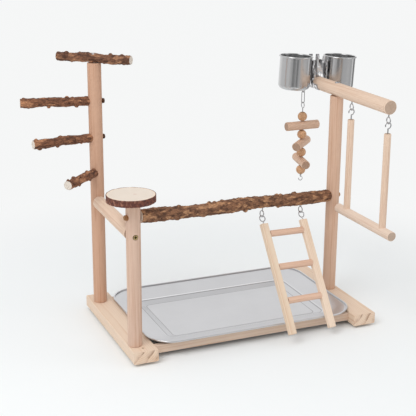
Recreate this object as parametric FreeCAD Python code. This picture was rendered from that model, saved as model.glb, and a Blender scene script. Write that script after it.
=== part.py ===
"""A table-top play stand for a parrot: two feet with rails and a tray between them, three
posts, bark perches, a swing, a ladder, a pair of cups and a string of wooden sticks.

Lengths are in millimetres and +Z is up.  The model is built with x = 0 at the outer side of
the left foot, y = 0 at the front ends of the feet and z = 0 on the table.  The last step moves
it so that the origin lies under the middle of the whole stand.
"""
import FreeCAD, Part
import math
import os

V = FreeCAD.Vector
UP = V(0, 0, 1)
DOWN = V(0, 0, -1)
RIGHT = V(1, 0, 0)
BACK = V(0, 1, 0)
quarter_turn = 90.0

# ---- feet, pads and rails
foot_length = 283.0
foot_width = 44.5
foot_height = 21.5
foot_edge = 1.2
pad_height = 5.0
pad_diameter = 24.0
pad_inset = 21.0
rail_height = 15.0
rail_depth = 9.0
rail_lift = 4.0
rail_pin_diameter = 6.0
rail_pin_depth = 15.0

# ---- tray
tray_width = 402.0
tray_left = 39.7
tray_depth = 270.0
tray_front = 7.5
tray_post_gap = 2.0
tray_rest_gap = 0.2
tray_sheet = 1.0
tray_rim_wire = 3.0
tray_corner = 50.0
tray_border = 42.0
tray_border_drop = 12.0
tray_step = 15.0
tray_step_drop = 5.5
tray_inner_corner = 16.0
tray_floor_corner = 9.0
tray_overhang = 13.5

# ---- posts
post_diameter = 25.0
tall_post_x = 17.2
tall_post_y = 247.0
tall_post_length = 456.9
front_post_x = 13.2
front_post_y = 33.0
front_post_length = 260.5
right_post_inset = 18.8
right_post_y = 142.5
right_post_length = 385.4
post_edge = 0.8

# ---- cross dowel between the two left posts
cross_dowel_diameter = 24.4
cross_dowel_height = 226.0
cross_dowel_saddle = 0.8

# ---- platform on the front post
platform_diameter = 84.5
platform_thickness = 11.2
platform_offset = 3.0

# ---- perches of branch wood
perch_diameter = 17.5
top_perch_length = 138.0
top_perch_azimuth = -42.0
perch_seat_depth = 0.8
side_perch_lengths = (120.8, 109.6, 90.8)
side_perch_azimuths = (169.1, 188.4, 223.6)
side_perch_heights = (414.3, 347.5, 282.2)
side_perch_diameters = (17.0, 17.5, 17.5)
branch_diameter = 25.5
branch_front_drop = 28.7
branch_rear_height = 217.8
bark_swell = 0.05
bark_section_pitch = 22.0

# ---- top bar on the right post
bar_diameter = 25.0
bar_length = 365.4
bar_seat_depth = 0.6

# ---- fasteners
bolt_diameter = 5.0
bolt_depth = 22.0
bolt_stub = 0.6
nut_width = 8.0
nut_height = 3.2
washer_diameter = 10.0
washer_thickness = 1.0
screw_diameter = 4.5
screw_head_diameter = 9.0
screw_head_height = 2.6
screw_length = 40.0
screw_tip = 0.6
platform_screw_length = 28.0
fastener_clearance = 0.05

# ---- eye screws and hooks
wire = 2.0
eye_shank = 2.4
eye_inner = 9.5
eye_stem = 4.0
eye_screw_depth = 12.0
hook_inner = 9.0
hook_opening = 70.0
link_clearance = 0.3

# ---- swing
swing_front_y = -36.0
swing_rear_y = 87.5
swing_rod_diameter = 12.5
swing_rod_length = 169.5
swing_perch_diameter = 17.5
swing_perch_front = -67.7
swing_perch_rear = 118.6
swing_hook_drop = 17.55
swing_tenon_depth = 8.75
swing_tenon_diameter = 8.0

# ---- ladder
ladder_place = 280.8
ladder_hang = 25.0
ladder_set_back = 1.8
ladder_turn = 8.5
ladder_tilt = 3.8
ladder_lean = 33.5
ladder_pitch = 88.9
ladder_rail_width = 14.0
ladder_rail_depth = 9.0
ladder_rail_length = 207.7
ladder_rung_diameter = 12.0
ladder_rung_count = 3
ladder_first_rung = 19.5
ladder_rung_pitch = 63.5
ladder_tenon_diameter = 6.5
ladder_tenon_depth = 9.0

# ---- cups
cup_height = 64.5
cup_diameter = 61.0
cup_wall = 0.9
cup_rim_wire = 3.0
cup_base_round = 9.0
cup_offset = 48.0
cup_middle_y = 224.0
cup_base_drop = 12.8

# ---- bracket that carries the cups on the bar
bracket_sheet = 1.2
bracket_length = 28.0
bracket_width = 22.0
bracket_middle_y = 227.0
bracket_jaw_reach = 18.0
bracket_plate_rise = 52.2
bracket_notch_width = 7.5
bracket_notch_depth = 13.0
bracket_hole = 3.2
bracket_hole_rise = 8.0
bracket_side_height = 24.0
bracket_side_rise = 4.0
clip_opening = 70.0
bracket_screw_diameter = 3.0
bracket_screw_depth = 9.0
bracket_screw_head_height = 1.6
clip_roll = 3.0
hanger_width = 18.0
hanger_lip = 11.0
hanger_drop = 34.0
hanger_gap = 0.3

# ---- hanging toy
toy_y = 275.0
toy_eye_stem = 4.0
toy_link_length = 24.0
toy_link_width = 6.0
toy_link_wire = 1.6
toy_bead_diameter = 18.8
toy_stick_diameter = 17.4
toy_stick_length = 72.0
toy_stick_azimuths = (1.0, 45.0, 78.0)
toy_wire = 2.0
toy_spin_clearance = 0.06
toy_stack_gap = 0.3
toy_loop_inner = 10.0
toy_loop_wire = 1.7
toy_neck = 8.0
toy_hook_inner = 6.2
toy_hook_sweep = 290.0

# ---- places that follow from the sizes
tray_right = tray_left + tray_width
base_length = tray_right + tray_post_gap + post_diameter / 2 + right_post_inset
foot_top = pad_height + foot_height
rail_bottom = pad_height + rail_lift
rail_top = rail_bottom + rail_height
tray_rim_inset = tray_rim_wire / 2
tray_slope = (tray_border_drop - tray_rim_inset) / (tray_border - tray_rim_inset)
tray_seat_inset = tray_overhang + rail_depth - tray_rim_inset
tray_rim_top = (rail_top + tray_rest_gap + tray_sheet + tray_rim_inset
                + tray_slope * tray_seat_inset)
front_rail_y = tray_front + tray_overhang
rear_rail_y = tray_front + tray_depth - tray_overhang - rail_depth
tall_post_foot = V(tall_post_x, tall_post_y, foot_top)
front_post_foot = V(front_post_x, front_post_y, foot_top)
right_post_foot = V(base_length - right_post_inset, right_post_y, foot_top)
tall_post_top = foot_top + tall_post_length
front_post_top = foot_top + front_post_length
right_post_top = foot_top + right_post_length
bar_height = right_post_top - bar_seat_depth + bar_diameter / 2
bar_x = right_post_foot.x
bar_bottom = bar_height - bar_diameter / 2
cup_base_height = bar_height - cup_base_drop
bracket_plate_top = bar_height + bracket_plate_rise
branch_front = V(front_post_x, front_post_y, front_post_top - branch_front_drop)
branch_rear = V(right_post_foot.x, right_post_y, branch_rear_height)
branch_way = (branch_rear - branch_front).normalize()


# ---- small helpers
def rod(start, end, diameter):
    """Round bar from one point to another."""
    way = end - start
    return Part.makeCylinder(diameter / 2, way.Length, start, way)


def turned(azimuth):
    """Level direction at an angle from +X towards +Y."""
    return V(math.cos(math.radians(azimuth)), math.sin(math.radians(azimuth)), 0)


def ring(centre, axis, inner, thickness):
    """Closed ring of round wire."""
    return Part.makeTorus(inner / 2 + thickness / 2, thickness / 2, centre, axis)


def bent_ring(centre, axis, start_way, inner, thickness, sweep):
    """Open ring of round wire that starts at a direction and turns about its axis."""
    radius = inner / 2 + thickness / 2
    mouth = centre + start_way * radius
    along = axis.cross(start_way)
    face = Part.Face(Part.Wire(Part.Circle(mouth, along, thickness / 2).toShape()))
    bend = face.revolve(centre, axis, sweep)
    return bend


def fused(shapes):
    """One solid from touching or overlapping shapes."""
    whole = shapes[0].multiFuse(shapes[1:])
    return whole.removeSplitter()


def box(low, high):
    """Box between two opposite corners."""
    size = high - low
    return Part.makeBox(size.x, size.y, size.z, low)


def moved(shape, way):
    """Copy of a shape, shifted."""
    copy = shape.copy()
    copy.translate(way)
    return copy


def hexagon(centre, axis, width, height):
    """Six-sided nut blank across its flats, without its bore."""
    axis = V(axis).normalize()
    side = axis.cross(UP)
    if side.Length < 0.1:
        side = RIGHT
    side.normalize()
    other = axis.cross(side)
    reach = width / 2 / math.cos(math.pi / 6)
    corners = []
    for step in range(7):
        angle = math.radians(60 * step)
        corners.append(centre + side * (reach * math.cos(angle)) + other * (reach * math.sin(angle)))
    return Part.Face(Part.makePolygon(corners)).extrude(axis * height)


def screw(head_place, way, length, diameter, head_diameter, head_height):
    """Wood screw: a domed head whose seat is at head_place and a pointed shank along way."""
    half = diameter / 2
    shank = Part.makeCylinder(half, length - diameter)
    point = Part.makeCone(half, screw_tip / 2, diameter, V(0, 0, length - diameter))
    disc = Part.makeCylinder(head_diameter / 2, head_height, V(0, 0, -head_height))
    outer_edge = [edge for edge in disc.Edges if edge.BoundBox.ZMax < -head_height / 2]
    head = disc.makeFillet(head_height * 0.7, outer_edge)
    return placed(fused([shank, point, head]), head_place, way)


def placed(shape, place, way):
    """Copy of a shape whose +Z is turned to a direction and whose origin goes to a place."""
    copy = shape.copy()
    copy.Placement = FreeCAD.Placement(place, FreeCAD.Rotation(UP, V(way)))
    return copy


# ---- feet, pads and rails
def foot(x):
    """Square bar of pine with its long edges eased."""
    block = Part.makeBox(foot_width, foot_length, foot_height, V(x, 0, pad_height))
    long_edges = [edge for edge in block.Edges if abs(edge.tangentAt(0).y) > 0.9]
    return block.makeChamfer(foot_edge, long_edges)


def foot_pads():
    """Four rubber pads under the ends of the feet."""
    pads = []
    for middle in (foot_width / 2, base_length - foot_width / 2):
        for y in (pad_inset, foot_length - pad_inset):
            pad = Part.makeCone(
                pad_diameter / 2 - 1.5, pad_diameter / 2, pad_height, V(middle, y, 0), UP)
            pads.append(pad)
    return pads


def rail(y):
    """Flat rail between the feet, with its edges eased."""
    length = base_length - 2 * foot_width
    bar = Part.makeBox(length, rail_depth, rail_height, V(foot_width, y, rail_bottom))
    long_edges = [edge for edge in bar.Edges if abs(edge.tangentAt(0).x) > 0.9]
    return bar.makeChamfer(foot_edge / 2, long_edges)


def rail_pin_places():
    """Middles of the four pins that join the rails to the feet."""
    places = []
    for x in (foot_width, base_length - foot_width):
        for y in (front_rail_y, rear_rail_y):
            places.append(V(x, y + rail_depth / 2, rail_bottom + rail_height / 2))
    return places


def rail_pins(extra=0.0):
    """Wooden pins, half in the foot and half in the rail."""
    reach = RIGHT * rail_pin_depth
    return [rod(place - reach, place + reach, rail_pin_diameter + 2 * extra)
            for place in rail_pin_places()]


# ---- tray
def rounded_outline(inset, height, corner):
    """Closed wire of the tray's rectangle, set in from the rim, with round corners."""
    left = tray_left + inset
    right = tray_right - inset
    front = tray_front + inset
    rear = tray_front + tray_depth - inset
    centres = (
        V(right - corner, front + corner, height),
        V(right - corner, rear - corner, height),
        V(left + corner, rear - corner, height),
        V(left + corner, front + corner, height),
    )
    arcs = []
    for number, centre in enumerate(centres):
        first = quarter_turn * (number - 1)
        turns = (first, first + quarter_turn / 2, first + quarter_turn)
        ends = [centre + turned(turn) * corner for turn in turns]
        arcs.append(Part.Arc(*ends))
    edges = []
    for number, arc in enumerate(arcs):
        following = arcs[(number + 1) % 4]
        edges.append(arc.toShape())
        edges.append(Part.LineSegment(arc.EndPoint, following.StartPoint).toShape())
    return Part.Wire(edges)


def tray_dish(drop):
    """Solid dish of the tray's inner form, lowered by a distance."""
    rim_inset = tray_rim_inset
    top = tray_rim_top - rim_inset - drop
    crease = tray_rim_top - tray_border_drop - drop
    floor = crease - tray_step_drop
    border = rounded_outline(rim_inset, top, tray_corner - rim_inset)
    fold = rounded_outline(tray_border, crease, tray_inner_corner)
    well = rounded_outline(tray_border + tray_step, floor, tray_floor_corner)
    slope = Part.makeLoft([border, fold], True, True)
    step = Part.makeLoft([fold, well], True, True)
    return slope.fuse(step)


def tray():
    """Pressed sheet tray: sloping border, a small step to the flat floor and a rolled rim."""
    sheet = tray_dish(tray_sheet).cut(tray_dish(0))
    inset = tray_rim_inset
    path = rounded_outline(inset, tray_rim_top - inset, tray_corner - inset)
    start = path.Edges[0].Vertexes[0].Point
    along = path.Edges[0].tangentAt(path.Edges[0].FirstParameter)
    section = Part.Wire(Part.Circle(start, along, inset).toShape())
    rim = Part.Wire(path.Edges).makePipeShell([section], True, False)
    return fused([sheet, rim])


# ---- posts and what joins them
def post(foot_place, length):
    """Turned dowel post with eased ends."""
    bar = Part.makeCylinder(post_diameter / 2, length, foot_place, UP)
    rims = [edge for edge in bar.Edges if isinstance(edge.Curve, Part.Circle)]
    return bar.makeChamfer(post_edge, rims)


def post_screw_bodies(extra=0.0):
    """Screws that hold the posts from under the feet, with their heads sunk."""
    bodies = []
    for place in (tall_post_foot, front_post_foot, right_post_foot):
        seat = V(place.x, place.y, pad_height + screw_head_height)
        if extra:
            bodies.append(rod(seat, seat + UP * screw_length, screw_diameter + 2 * extra))
            pocket = screw_head_diameter + 1.0
            bodies.append(rod(seat - UP * (screw_head_height + 1), seat, pocket))
        else:
            bodies.append(screw(seat, UP, screw_length, screw_diameter,
                                screw_head_diameter, screw_head_height))
    return bodies


def cross_dowel_ends():
    """Axis of the cross dowel, from the tall post's axis to the front post's axis."""
    rear = V(tall_post_x, tall_post_y, cross_dowel_height)
    front = V(front_post_x, front_post_y, cross_dowel_height)
    return rear, front


def cross_dowel(posts):
    """Dowel with flat ends that meet the two left posts along a shallow saddle."""
    rear, front = cross_dowel_ends()
    inset = (front - rear).normalize() * (post_diameter / 2 - cross_dowel_saddle)
    bar = rod(rear + inset, front - inset, cross_dowel_diameter)
    for shape in posts:
        bar = bar.cut(shape)
    return max(bar.Solids, key=lambda solid: solid.Volume)


def cross_dowel_screws(extra=0.0):
    """Screws through the left posts into the ends of the cross dowel."""
    rear, front = cross_dowel_ends()
    way = (front - rear).normalize()
    sink = post_diameter / 2 - screw_head_height
    bodies = []
    for place, inward in ((rear, way), (front, way * -1)):
        seat = place - inward * sink
        if extra:
            bodies.append(rod(seat, seat + inward * screw_length, screw_diameter + 2 * extra))
            bodies.append(rod(seat - inward * 6, seat, screw_head_diameter + 0.6))
        else:
            bodies.append(screw(seat, inward, screw_length, screw_diameter,
                                screw_head_diameter, screw_head_height))
    return bodies


# ---- platform
def platform():
    """Slice of a log with its bark: slightly waisted sides and eased edges."""
    radius = platform_diameter / 2
    height = platform_thickness
    profile = Part.Wire([
        Part.LineSegment(V(0, 0, 0), V(radius - 1.2, 0, 0)).toShape(),
        Part.Arc(V(radius - 1.2, 0, 0), V(radius, 0, height / 2), V(radius - 0.8, 0, height)).toShape(),
        Part.LineSegment(V(radius - 0.8, 0, height), V(0, 0, height)).toShape(),
        Part.LineSegment(V(0, 0, height), V(0, 0, 0)).toShape(),
    ])
    disc = Part.Face(profile).revolve(V(0, 0, 0), UP, 360)
    return moved(disc, V(front_post_x - platform_offset, front_post_y, front_post_top))


def platform_screw(extra=0.0):
    """Flat-sunk screw through the middle of the platform into the front post."""
    seat = V(front_post_x, front_post_y, front_post_top + platform_thickness - screw_head_height)
    if extra:
        shank = rod(seat, seat - UP * platform_screw_length, screw_diameter + 2 * extra)
        pocket = rod(seat, seat + UP * (screw_head_height + 1), screw_head_diameter + 0.6)
        return shank.fuse(pocket)
    return screw(seat, DOWN, platform_screw_length, screw_diameter,
                 screw_head_diameter, screw_head_height)


# ---- branch wood
def bark_branch(start, end, diameter, phase, knots):
    """Branch with a gently swelling, swaying trunk and a few knots.

    Each knot is (share of the length, angle round the trunk, size as a share of the diameter).
    """
    way = end - start
    length = way.Length
    way.normalize()
    side = way.cross(UP).normalize()
    lift = side.cross(way)
    count = max(4, int(round(length / bark_section_pitch)) + 1)
    sections = []
    for number in range(count):
        share = number / (count - 1)
        swell = 1 + bark_swell * math.sin(5.1 * share * math.pi + phase)
        calm = math.sin(math.pi * share)
        sway = side * (0.05 * diameter * calm * math.sin(2.3 * math.pi * share + phase))
        nod = lift * (0.05 * diameter * calm * math.cos(3.1 * math.pi * share + phase))
        centre = start + way * (length * share) + sway + nod
        circle = Part.Circle(centre, way, diameter / 2 * swell)
        circle.XAxis = side
        sections.append(Part.Wire(circle.toShape()))
    trunk = Part.makeLoft(sections, True, False)
    bumps = []
    for share, angle, size in knots:
        radius = diameter * size
        out = side * math.cos(math.radians(angle)) + lift * math.sin(math.radians(angle))
        centre = start + way * (length * share) + out * (diameter / 2 - radius * 0.45)
        bumps.append(Part.makeSphere(radius, centre))
    return fused([trunk] + bumps)


def side_perch_ends(number):
    """Points of a side perch on the post's axis and at its outer end."""
    root = V(tall_post_x, tall_post_y, side_perch_heights[number])
    way = turned(side_perch_azimuths[number])
    return root, root + way * (post_diameter / 2 + side_perch_lengths[number])


def side_perch(number, post_shape):
    """Branch perch whose inner end is hollowed to fit the tall post."""
    root, tip = side_perch_ends(number)
    way = (tip - root).normalize()
    knots = ((0.34 + 0.1 * number, 70 + 60 * number, 0.2), (0.68, 200 - 40 * number, 0.17))
    inner = root + way * (post_diameter / 4)
    branch = bark_branch(inner, tip, side_perch_diameters[number], 1.3 * number, knots)
    bar = branch.cut(Part.makeCylinder(post_diameter / 2, 2 * post_diameter,
                                       root - UP * post_diameter, UP))
    return max(bar.Solids, key=lambda solid: solid.Volume)


def perch_bolt_lines():
    """Post axis point and direction towards the perch, for each side perch."""
    lines = []
    for number in range(len(side_perch_lengths)):
        root, tip = side_perch_ends(number)
        lines.append((root, (tip - root).normalize()))
    return lines


def branch_bolt_lines():
    """Post axis point and direction into the long branch, at both of its ends."""
    return [(branch_front, branch_way), (branch_rear, branch_way * -1)]


def bolt(root, way, extra=0.0):
    """Headless bolt from inside a perch, through the post and out at its far side."""
    outer = post_diameter / 2 + washer_thickness + nut_height + bolt_stub
    inner = post_diameter / 2 + bolt_depth
    return rod(root - way * outer, root + way * inner, bolt_diameter + 2 * extra)


def nut_and_washer(root, way):
    """Washer with a hollowed back and a six-sided nut on the far side of the post."""
    seat = root - way * (post_diameter / 2 - 0.5)
    washer = rod(seat, seat - way * (washer_thickness + 0.5), washer_diameter)
    washer = washer.cut(Part.makeCylinder(post_diameter / 2, 2 * post_diameter,
                                          root - UP * post_diameter, UP))
    nut_seat = root - way * (post_diameter / 2 + washer_thickness)
    nut = hexagon(nut_seat, way * -1, nut_width, nut_height)
    pair = fused([washer, nut])
    return pair.cut(bolt(root, way, fastener_clearance))


def top_perch():
    """Branch perch across the top of the tall post."""
    height = tall_post_top - perch_seat_depth + perch_diameter / 2
    middle = V(tall_post_x, tall_post_y, height)
    reach = turned(top_perch_azimuth) * (top_perch_length / 2)
    knots = ((0.14, 70, 0.22), (0.3, 110, 0.2), (0.55, 60, 0.24), (0.72, 100, 0.2), (0.88, 80, 0.2))
    return bark_branch(middle - reach, middle + reach, perch_diameter, 2.0, knots)


def top_perch_screw(extra=0.0):
    """Screw down through the top perch into the tall post."""
    seat = V(tall_post_x, tall_post_y,
             tall_post_top - perch_seat_depth + perch_diameter - screw_head_height)
    if extra:
        shank = rod(seat, seat - UP * screw_length, screw_diameter + 2 * extra)
        pocket = rod(seat, seat + UP * 6, screw_head_diameter + 0.6)
        return shank.fuse(pocket)
    return screw(seat, DOWN, screw_length, screw_diameter, screw_head_diameter, screw_head_height)


def bridge_branch():
    """Long branch from the front post to the right post."""
    start = branch_front + branch_way * (post_diameter / 4)
    end = branch_rear - branch_way * (post_diameter / 4)
    knots = ((0.17, 250, 0.2), (0.36, 80, 0.17), (0.52, 300, 0.19), (0.7, 95, 0.18), (0.87, 240, 0.17))
    trunk = bark_branch(start, end, branch_diameter, 0.6, knots)
    for root in (branch_front, branch_rear):
        trunk = trunk.cut(Part.makeCylinder(post_diameter / 2, 4 * post_diameter,
                                            root - UP * 2 * post_diameter, UP))
    return max(trunk.Solids, key=lambda solid: solid.Volume)


# ---- top bar
def top_bar():
    """Dowel bar that runs fore and aft across the top of the right post."""
    start = V(bar_x, right_post_y - bar_length / 2, bar_height)
    bar = Part.makeCylinder(bar_diameter / 2, bar_length, start, BACK)
    rims = [edge for edge in bar.Edges if isinstance(edge.Curve, Part.Circle)]
    return bar.makeChamfer(post_edge, rims)


def top_bar_screw(extra=0.0):
    """Screw down through the bar into the right post."""
    seat = V(bar_x, right_post_y, bar_height + bar_diameter / 2 - 1.2)
    if extra:
        shank = rod(seat, seat - UP * (screw_length + 10), screw_diameter + 2 * extra)
        pocket = rod(seat, seat + UP * 4, screw_head_diameter + 0.6)
        return shank.fuse(pocket)
    return screw(seat, DOWN, screw_length + 10, screw_diameter,
                 screw_head_diameter, screw_head_height)


# ---- eye screws and hooks
def eye_screw(surface, way, ring_axis, stem=eye_stem):
    """Eye screw: its shank goes into the wood against way and its ring hangs along way."""
    centre = surface + way * (stem + wire + eye_inner / 2)
    loop = ring(centre, ring_axis, eye_inner, wire)
    shank = rod(surface - way * eye_screw_depth, surface + way * (stem + wire * 0.6), eye_shank)
    return fused([shank, loop])


def eye_reach(stem=eye_stem):
    """Distance from the wood to the middle of the far wire of an eye."""
    return stem + wire + eye_inner + wire / 2


def eye_hole(surface, way):
    """Bore for the shank of an eye screw."""
    return rod(surface + way * 2 * wire, surface - way * (eye_screw_depth + fastener_clearance),
               eye_shank + 2 * fastener_clearance)


# ---- swing
swing_axis_height = bar_bottom - eye_reach()
hook_top_rise = wire + link_clearance
hook_centre_height = swing_axis_height + hook_top_rise - hook_inner / 2 - wire / 2
swing_rod_top = swing_axis_height - swing_hook_drop
swing_perch_height = swing_rod_top - swing_rod_length - swing_perch_diameter / 2


def swing_eye_places():
    """Points on the underside of the bar above the two swing rods."""
    return [V(bar_x, y, bar_bottom) for y in (swing_front_y, swing_rear_y)]


def swing_hook(y):
    """Open hook of round wire whose stem goes down into the top of a swing rod."""
    centre = V(bar_x, y, hook_centre_height)
    radius = hook_inner / 2 + wire / 2
    start_way = V(0, 0, -1)
    arc = bent_ring(centre, BACK * -1, start_way, hook_inner, wire, 360 - hook_opening)
    low = V(bar_x, y, swing_rod_top - eye_screw_depth)
    stem = rod(low, centre - UP * (radius - wire * 0.1), eye_shank)
    return fused([arc, stem])


def swing_rod(y):
    """Dowel between hook and perch, with a tenon at its foot."""
    foot_place = V(bar_x, y, swing_perch_height + swing_perch_diameter / 2)
    body = Part.makeCylinder(swing_rod_diameter / 2, swing_rod_top - foot_place.z, foot_place, UP)
    top_rim = [edge for edge in body.Edges
               if isinstance(edge.Curve, Part.Circle) and edge.CenterOfMass.z > swing_rod_top - 1]
    body = body.makeChamfer(post_edge, top_rim)
    body = fused([body, rod(foot_place, foot_place - UP * swing_tenon_depth, swing_tenon_diameter)])
    skirt = rod(foot_place - UP * 2.5, foot_place + UP * 0.01, swing_rod_diameter)
    body = fused([body, skirt])
    body = body.cut(swing_perch_bar())
    tenon = rod(foot_place - UP * swing_tenon_depth, foot_place, swing_tenon_diameter)
    body = fused([max(body.Solids, key=lambda solid: solid.Volume), tenon])
    return body.cut(eye_hole(V(bar_x, y, swing_rod_top), UP))


def swing_perch_bar():
    """Plain dowel of the swing's perch."""
    start = V(bar_x, swing_perch_front, swing_perch_height)
    length = swing_perch_rear - swing_perch_front
    return Part.makeCylinder(swing_perch_diameter / 2, length, start, BACK)


def swing_perch():
    """Perch of the swing, with sockets for the tenons of its two rods."""
    bar = swing_perch_bar()
    rims = [edge for edge in bar.Edges if isinstance(edge.Curve, Part.Circle)]
    bar = bar.makeChamfer(post_edge, rims)
    for y in (swing_front_y, swing_rear_y):
        top = V(bar_x, y, swing_perch_height + swing_perch_diameter / 2)
        bar = bar.cut(rod(top - UP * swing_tenon_depth, top + UP, swing_tenon_diameter))
    return bar


# ---- ladder
ladder_across = V(math.cos(math.radians(ladder_tilt)) * math.cos(math.radians(ladder_turn)),
                  math.cos(math.radians(ladder_tilt)) * math.sin(math.radians(ladder_turn)),
                  -math.sin(math.radians(ladder_tilt)))
ladder_front_way = turned(ladder_turn - 90)
ladder_plumb = ladder_across.cross(ladder_front_way)
ladder_down = (ladder_plumb * math.cos(math.radians(ladder_lean))
               + ladder_front_way * math.sin(math.radians(ladder_lean)))
ladder_face = ladder_down.cross(ladder_across)
branch_under = branch_diameter / 2 - 0.4
ladder_hinge = (branch_front + branch_way * ladder_place
                + BACK * ladder_set_back - UP * ladder_hang)
ladder_rail_start = eye_stem + eye_inner + 1.5 * wire


def ladder_point(across, down, out=0.0):
    """Point in the ladder's own frame, from the left end of the hinge line."""
    return ladder_hinge + ladder_across * across + ladder_down * down + ladder_face * out


def ladder_block(across, down, width, length, depth):
    """Bar of the ladder's frame, centred on a line, with eased edges."""
    low = ladder_point(across - width / 2, down, -depth / 2)
    corners = [low, low + ladder_across * width,
               low + ladder_across * width + ladder_face * depth,
               low + ladder_face * depth, low]
    bar = Part.Face(Part.makePolygon(corners)).extrude(ladder_down * length)
    return bar.makeChamfer(0.7, [edge for edge in bar.Edges if edge.Length > length - 1])


def ladder_rung_rows():
    """Distances of the rungs from the hinge line."""
    return [ladder_rail_start + ladder_first_rung + ladder_rung_pitch * row
            for row in range(ladder_rung_count)]


def ladder_rung(row):
    """Dowel rung with a thinner tenon at each end."""
    inner = ladder_rail_width / 2
    body = rod(ladder_point(inner, row), ladder_point(ladder_pitch - inner, row), ladder_rung_diameter)
    tenon = rod(ladder_point(inner - ladder_tenon_depth, row),
                ladder_point(ladder_pitch - inner + ladder_tenon_depth, row),
                ladder_tenon_diameter)
    return fused([body, tenon])


def ladder_rail(across):
    """Flat ladder rail with sockets for its rungs and a bore for its eye screw."""
    bar = ladder_block(across, ladder_rail_start, ladder_rail_width, ladder_rail_length, ladder_rail_depth)
    for row in ladder_rung_rows():
        bar = bar.cut(ladder_rung(row))
    return bar.cut(eye_hole(ladder_point(across, ladder_rail_start), ladder_down * -1))


def ladder_eye(across):
    """Eye screw in the top of a ladder rail; its ring hangs on the branch's eye."""
    return eye_screw(ladder_point(across, ladder_rail_start), ladder_down * -1, ladder_face)


def branch_eye_line(across):
    """Where an eye screw leaves the branch, its direction and the length of its stem."""
    hang = ladder_point(across, 0)
    along = (hang - branch_front).dot(branch_way)
    core = branch_front + branch_way * along
    way = hang - core
    stem = way.Length - branch_under - eye_inner - wire / 2 + link_clearance
    way.normalize()
    return core + way * branch_under, way, stem


def branch_eye(across):
    """Eye screw under the branch; its ring is square to the hinge line."""
    surface, way, stem = branch_eye_line(across)
    axis = ladder_across - way * ladder_across.dot(way)
    return eye_screw(surface, way, axis.normalize(), stem)


# ---- cups and their bracket
def rolled(shape):
    """The clip sits a little turned round the bar, and with it all that it carries."""
    copy = shape.copy()
    copy.rotate(V(bar_x, 0, bar_height), BACK, clip_roll)
    return copy


def cup(side):
    """Spun steel cup: rounded base, straight wall and a rolled rim."""
    outer = cup_diameter / 2
    bend = cup_base_round
    top = cup_height - cup_rim_wire / 2
    lean = math.sqrt(0.5)
    inner_bend = bend - cup_wall
    edges = [
        Part.LineSegment(V(0, 0, 0), V(outer - bend, 0, 0)),
        Part.Arc(V(outer - bend, 0, 0), V(outer - bend + bend * lean, 0, bend - bend * lean),
                 V(outer, 0, bend)),
        Part.LineSegment(V(outer, 0, bend), V(outer, 0, top)),
        Part.LineSegment(V(outer, 0, top), V(outer - cup_wall, 0, top)),
        Part.LineSegment(V(outer - cup_wall, 0, top), V(outer - cup_wall, 0, bend)),
        Part.Arc(V(outer - cup_wall, 0, bend),
                 V(outer - bend + inner_bend * lean, 0, bend - inner_bend * lean),
                 V(outer - bend, 0, cup_wall)),
        Part.LineSegment(V(outer - bend, 0, cup_wall), V(0, 0, cup_wall)),
        Part.LineSegment(V(0, 0, cup_wall), V(0, 0, 0)),
    ]
    wall = Part.Face(Part.Wire([edge.toShape() for edge in edges])).revolve(V(0, 0, 0), UP, 360)
    rim_radius = outer - cup_wall + cup_rim_wire / 2
    rim = Part.makeTorus(rim_radius, cup_rim_wire / 2, V(0, 0, top), UP)
    body = fused([wall, rim])
    return rolled(moved(body, V(bar_x + side * cup_offset, cup_middle_y, cup_base_height)))


side_plate_x = bracket_width / 2 - bracket_sheet
side_plate_low = bar_height + bar_diameter / 2 + bracket_sheet + bracket_side_rise
side_plate_top = side_plate_low + bracket_side_height
hanger_outer_x = cup_offset - cup_diameter / 2


def cup_bracket():
    """Bent sheet bracket: a clip round the bar, two notched end plates and two side plates."""
    front = bracket_middle_y - bracket_length / 2
    outer = bar_diameter / 2 + bracket_sheet
    clip_length = bracket_length + bracket_jaw_reach
    start = V(bar_x, front - bracket_jaw_reach, bar_height)
    clip = Part.makeCylinder(outer, clip_length, start, BACK)
    clip = clip.cut(Part.makeCylinder(bar_diameter / 2, clip_length, start, BACK))
    clip = clip.cut(box(start - V(outer, 0, 0), start + V(outer, bracket_jaw_reach, outer)))
    half_opening = math.radians(clip_opening / 2)
    wedge_reach = 2 * outer
    wedge = Part.Face(Part.makePolygon([
        start,
        start + V(-wedge_reach * math.sin(half_opening), 0, -wedge_reach * math.cos(half_opening)),
        start + V(wedge_reach * math.sin(half_opening), 0, -wedge_reach * math.cos(half_opening)),
        start,
    ])).extrude(BACK * clip_length)
    clip = clip.cut(wedge)
    pieces = [clip]
    bar_bore = Part.makeCylinder(bar_diameter / 2, 2 * clip_length, start - BACK, BACK)
    for y in (front, front + bracket_length - bracket_sheet):
        plate = box(V(bar_x - bracket_width / 2, y, bar_height + bar_diameter / 4),
                    V(bar_x + bracket_width / 2, y + bracket_sheet, bracket_plate_top))
        notch = box(V(bar_x - bracket_notch_width / 2, y, bracket_plate_top - bracket_notch_depth),
                    V(bar_x + bracket_notch_width / 2, y + bracket_sheet, bracket_plate_top))
        hole_place = V(bar_x, y - 1, bar_height + bar_diameter / 2 + bracket_hole_rise)
        plate = plate.cut(notch)
        plate = plate.cut(Part.makeCylinder(bracket_hole / 2, bracket_sheet + 2, hole_place, BACK))
        pieces.append(plate.cut(bar_bore))
    for side in (-1, 1):
        inner = bar_x + side * side_plate_x
        outer_face = bar_x + side * bracket_width / 2
        pieces.append(box(V(min(inner, outer_face), front, side_plate_low),
                          V(max(inner, outer_face), front + bracket_length, side_plate_top)))
    bracket = rolled(fused(pieces))
    for hole in bracket_screws(fastener_clearance):
        bracket = bracket.cut(hole)
    return bracket


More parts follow.
